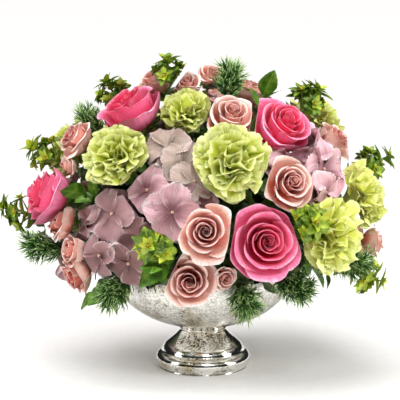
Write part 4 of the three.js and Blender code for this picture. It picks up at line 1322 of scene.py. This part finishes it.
class CenterpieceSizes(bpy.types.PropertyGroup):
    moss_leaf: bpy.props.FloatProperty(
        name="Moss leaf length",
        description="Length of the small leaves set in the moss",
        default=0.017,
        min=0.005,
        max=0.03,
        subtype="DISTANCE",
        unit="LENGTH",
    )
    carnation_petals: bpy.props.IntProperty(
        name="Carnation petals",
        description="How many petals each carnation has",
        default=50,
        min=20,
        max=90,
    )


class CenterpieceColours(bpy.types.PropertyGroup):
    __annotations__ = {
        name: bpy.props.FloatVectorProperty(
            name=words,
            description=words + ", as linear colour",
            default=linear(code),
            size=3,
            min=0.0,
            max=1.0,
            subtype="COLOR",
        )
        for name, (code, words) in COLOURS.items()
    }


def chosen(context, name):
    return tuple(getattr(context.scene.centerpiece_colours, name))


def petal_colours(context, flower):
    """A flower's colours deep in its petals, over them and at their lips."""
    return [chosen(context, f"{flower}_{part}") for part in ("deep", "body", "rim")]


def shared(name, make):
    """The material of that name, made the first time it is asked for."""
    return bpy.data.materials.get(name) or make()


def green_stem():
    return shared("green_stem", lambda: stem_finish("green_stem", linear("#5d7a2a"), linear("#8aa24a")))


def rose_leaf():
    colours = linear("#2c4d12"), linear("#4c7a22"), linear("#86a83e")
    return shared("rose_leaf", lambda: leaf_finish("rose_leaf", *colours, 0.45))


def golden_floret():
    colours = linear("#8b8a1e"), linear("#d8b62a")
    return shared("golden_floret", lambda: floret_finish("golden_floret", *colours))


def draws(name):
    """Random numbers of a piece's own, the same in every run."""
    return np.random.default_rng(sum(ord(letter) * (i + 1) for i, letter in enumerate(name)))


def dress(names, shape, slot, materials, slim):
    """Makes one piece for each named node: what shape puts at each of its places, and its stems with
    their leaves. Slim is how wide these are for their length."""
    for name in names:
        gathered, draw = Gathered(), draws(name)
        for place in places_of(name):
            shape(gathered, place, draw)
        add_stems(gathered, name, STEM_SLOT)
        add_stem_leaves(gathered, name, slim, draw)
        gathered.piece("dressed_" + name, [name], slot, materials)


# Operators


class CENTERPIECE_OT_bowl(bpy.types.Operator):
    """Makes the footed bowl of silvered glass"""

    bl_idname = "centerpiece.bowl"
    bl_label = "Silvered bowl"

    def execute(self, context):
        warm, tarnish = linear("#b9ad90"), linear("#1a1814")
        make_bowl([silvered_glass("silvered_glass", chosen(context, "silver"), warm, tarnish)])
        return {"FINISHED"}


class CENTERPIECE_OT_crown(bpy.types.Operator):
    """Makes the foam with its moss and small leaves"""

    bl_idname = "centerpiece.crown"
    bl_label = "Mossy crown"

    def execute(self, context):
        moss = moss_finish("sheet_moss", linear("#141c08"), linear("#2c3d14"), linear("#55702a"))
        small = leaf_finish("box_leaf", linear("#1b2b0c"), linear("#34501a"), linear("#5f7d2e"))
        make_crown([moss, small], context.scene.centerpiece_sizes.moss_leaf * 1000, draws("crown"))
        return {"FINISHED"}


class CENTERPIECE_OT_roses(bpy.types.Operator):
    """Makes the hot pink roses"""

    bl_idname = "centerpiece.roses"
    bl_label = "Roses"

    def execute(self, context):
        colours, hearts, veins = petal_colours(context, "rose"), toward("#f7124e"), linear("#e85a8c")
        finish = petal_finish("rose_petal", colours, hearts, veins, 0.35, 0.4, 0.9, 0.62)

        def shape(gathered, place, draw):
            add_rose(gathered, place, ROSE_FORM, draw)

        dress(ROSES, shape, "rose", [finish, green_stem(), rose_leaf()], 0.55)
        return {"FINISHED"}


class CENTERPIECE_OT_spray_roses(bpy.types.Operator):
    """Makes the peach spray roses and their buds"""

    bl_idname = "centerpiece.spray_roses"
    bl_label = "Spray roses"

    def execute(self, context):
        salmon, veins = linear("#c4341f"), linear("#e9a392")
        hearts = [(0.24, (*salmon, 0.0)), (0.58, (*salmon, 0.76)), (0.9, (*salmon, 0.96))]
        colours = petal_colours(context, "spray")
        finish = petal_finish("spray_rose_petal", colours, hearts, veins, 0.3, 0.05, 0.85, 0.52)

        def shape(gathered, place, draw):
            add_rose(gathered, place, BUD_FORM if place.size < 40 else SPRAY_FORM, draw)

        dress(SPRAYS, shape, "spray_rose", [finish, green_stem(), rose_leaf()], 0.55)
        return {"FINISHED"}


class CENTERPIECE_OT_carnations(bpy.types.Operator):
    """Makes the green carnations"""

    bl_idname = "centerpiece.carnations"
    bl_label = "Carnations"

    def execute(self, context):
        pale, creamy = linear("#d6de5c"), linear("#f7f98c")
        hearts = [(0.24, (*pale, 0.0)), (0.72, (*pale, 0.4)), (1.0, (*creamy, 0.85))]
        colours, veins = petal_colours(context, "carnation"), linear("#bfcb52")
        # The deep green reaches far up each petal: partly the carnation's own colour, partly painted shade
        # in the ruffles
        finish = petal_finish("carnation_petal", colours, hearts, veins, 0.3, 0.2, 0.8, 0.74)
        petals = context.scene.centerpiece_sizes.carnation_petals

        def shape(gathered, place, draw):
            add_carnation(gathered, place, draw, petals)

        dress(CARNATIONS, shape, "carnation", [finish, green_stem(), rose_leaf()], 0.35)
        return {"FINISHED"}


class CENTERPIECE_OT_hydrangeas(bpy.types.Operator):
    """Makes the pale pink hydrangea heads"""

    bl_idname = "centerpiece.hydrangeas"
    bl_label = "Hydrangeas"

    def execute(self, context):
        # The dusty colour is partly the hydrangeas' own and partly painted shade on the left head
        dusty, pink, cream = (linear(code) for code in ("#84605a", "#ecc0c9", "#c2b5a4"))
        tints = [(0.0, (*dusty, 0.9)), (0.5, (*pink, 0.0)), (1.0, (*cream, 0.85))]
        colours, veins = petal_colours(context, "sepal"), linear("#a3717a")
        finish = petal_finish("hydrangea_sepal", colours, tints, veins, 0.4, 0.35, 0.8, 0.62)
        bead = floret_finish("sepal_bead", linear("#b97f6a"), linear("#e8c9b0"))
        dress(HYDRANGEAS, add_floret, "hydrangea", [finish, green_stem(), rose_leaf(), bead], 0.6)
        return {"FINISHED"}


class CENTERPIECE_OT_needles(bpy.types.Operator):
    """Makes the evergreen sprigs"""

    bl_idname = "centerpiece.needles"
    bl_label = "Evergreen sprigs"

    def execute(self, context):
        # Painted shade at the twig and a painted highlight at the point, over the needle's own greens
        dark, tip_and_highlight = linear("#1b300a"), linear("#a9c878")
        finish = needle_finish("evergreen_needle", dark, chosen(context, "needle"), tip_and_highlight)
        twig = stem_finish("green_twig", linear("#3f4a1c"), linear("#6b6f35"))
        dress(NEEDLES, add_needles, "needles", [finish, twig, rose_leaf()], 0.6)
        return {"FINISHED"}


class CENTERPIECE_OT_greens(bpy.types.Operator):
    """Makes the yellow-green sprigs with starry umbels"""

    bl_idname = "centerpiece.greens"
    bl_label = "Starry greens"

    def execute(self, context):
        dark, light = linear("#2f5a10"), linear("#c8cf3c")
        finish = leaf_finish("umbel_bract", dark, chosen(context, "bract"), light)

        def shape(gathered, place, draw):
            add_greens(gathered, place, draw, *GREENS_LOOK.get(place.piece, PLAIN_GREENS))

        dress(GREENS, shape, "greens", [finish, green_stem(), rose_leaf(), golden_floret()], 0.6)
        return {"FINISHED"}


class CENTERPIECE_OT_leaves(bpy.types.Operator):
    """Makes the broad leaves"""

    bl_idname = "centerpiece.leaves"
    bl_label = "Broad leaves"

    def execute(self, context):
        dark, light = linear("#2e5210"), linear("#93b440")
        finish = leaf_finish("broad_leaf", dark, chosen(context, "leaf"), light, 0.36)

        def shape(gathered, place, draw):
            add_leaves(gathered, place, draw, LEAF_WIDTHS[place.piece])

        dress(LEAVES, shape, "leaf", [finish, green_stem(), rose_leaf()], 0.6)
        return {"FINISHED"}


def soft_light(name, place, target, width, height, power):
    """A soft box that looks at target."""
    light = bpy.data.lights.new(name, "AREA")
    light.shape = "RECTANGLE"
    light.size, light.size_y = width, height
    light.energy = power
    made = bpy.data.objects.new(name, light)
    made.location = place
    made.rotation_mode = "QUATERNION"
    made.rotation_quaternion = (Vector(target) - Vector(place)).to_track_quat("-Z", "Y")
    bpy.context.scene.collection.objects.link(made)


class CENTERPIECE_OT_stage(bpy.types.Operator):
    """Makes the floor, the soft light and the camera"""

    bl_idname = "centerpiece.stage"
    bl_label = "Stage"

    def execute(self, context):
        points, _, faces = lathe([(0, 0), (300, 0), (1500, 0), (9000, 0)], 64, 12)
        mesh = bpy.data.meshes.new("paper_floor")
        mesh.from_pydata((points * 0.001).tolist(), [], faces.tolist())
        mesh.materials.append(paper_sweep("matt_paper", "#f4f3f1"))
        floor = bpy.data.objects.new("paper_floor", mesh)
        context.scene.collection.objects.link(floor)
        world = bpy.data.worlds.new("studio")
        world.use_nodes = True
        tree = world.node_tree
        where = add(tree, "ShaderNodeTexCoord")
        height = add(tree, "ShaderNodeSeparateXYZ", {0: where.outputs["Generated"]})
        # A bright ceiling over dim walls, which the polished foot mirrors
        stops = [(0.0, grey(0.9)), (0.015, grey(0.02)), (0.42, grey(0.05)), (0.52, grey(1.0))]
        walls = add(tree, "ShaderNodeValToRGB", {0: height.outputs[2]}, stops)
        tree.links.new(walls.outputs[0], tree.nodes["Background"].inputs[0])
        tree.nodes["Background"].inputs[1].default_value = 0.55
        context.scene.world = world
        context.scene.view_settings.view_transform = "Standard"
        middle = (0.0, 0.0, 0.16)
        soft_light("key_box", (0.5, -1.7, 1.5), middle, 0.8, 0.8, 15)
        soft_light("left_box", (-1.4, -0.4, 0.75), middle, 0.4, 1.2, 5.5)
        soft_light("right_box", (1.4, -0.4, 0.75), middle, 0.4, 1.2, 13)
        sky = bpy.data.lights.new("overhead", "SUN")
        sky.energy, sky.angle = 2.35, math.radians(60)
        overhead = bpy.data.objects.new("overhead", sky)
        overhead.rotation_euler = (math.radians(6), math.radians(-18), 0.0)
        context.scene.collection.objects.link(overhead)
        target, tilt, away = Vector((-0.003, 0.0, 0.170)), math.radians(10), 1.9
        camera = bpy.data.objects.new("camera", bpy.data.cameras.new("camera"))
        camera.data.sensor_width, camera.data.lens = 36.0, 171.0
        camera.data.clip_start, camera.data.clip_end = 0.05, 50.0
        camera.location = target + Vector((0.0, -away * math.cos(tilt), away * math.sin(tilt)))
        camera.rotation_mode = "QUATERNION"
        camera.rotation_quaternion = (target - camera.location).to_track_quat("-Z", "Y")
        context.scene.collection.objects.link(camera)
        context.scene.camera = camera
        return {"FINISHED"}


OPERATORS = (
    CENTERPIECE_OT_bowl,
    CENTERPIECE_OT_crown,
    CENTERPIECE_OT_roses,
    CENTERPIECE_OT_spray_roses,
    CENTERPIECE_OT_carnations,
    CENTERPIECE_OT_hydrangeas,
    CENTERPIECE_OT_needles,
    CENTERPIECE_OT_greens,
    CENTERPIECE_OT_leaves,
    CENTERPIECE_OT_stage,
)


class CENTERPIECE_PT_panel(bpy.types.Panel):
    """The centerpiece's pieces, sizes and colours"""

    bl_idname = "CENTERPIECE_PT_panel"
    bl_label = "Floral Centerpiece"
    bl_space_type = "VIEW_3D"
    bl_region_type = "UI"
    bl_category = "Centerpiece"

    def draw(self, context):
        for operator in OPERATORS:
            self.layout.operator(operator.bl_idname)
        for group in (context.scene.centerpiece_sizes, context.scene.centerpiece_colours):
            for name in group.__annotations__:
                self.layout.prop(group, name)


CLASSES = (CenterpieceSizes, CenterpieceColours, *OPERATORS, CENTERPIECE_PT_panel)


def register():
    for made in CLASSES:
        bpy.utils.register_class(made)
    bpy.types.Scene.centerpiece_sizes = bpy.props.PointerProperty(type=CenterpieceSizes)
    bpy.types.Scene.centerpiece_colours = bpy.props.PointerProperty(type=CenterpieceColours)


def unregister():
    del bpy.types.Scene.centerpiece_colours
    del bpy.types.Scene.centerpiece_sizes
    for made in reversed(CLASSES):
        bpy.utils.unregister_class(made)


def main():
    register()
    for operator in OPERATORS:
        group, name = operator.bl_idname.split(".")
        getattr(getattr(bpy.ops, group), name)()


if __name__ == "__main__":
    main()
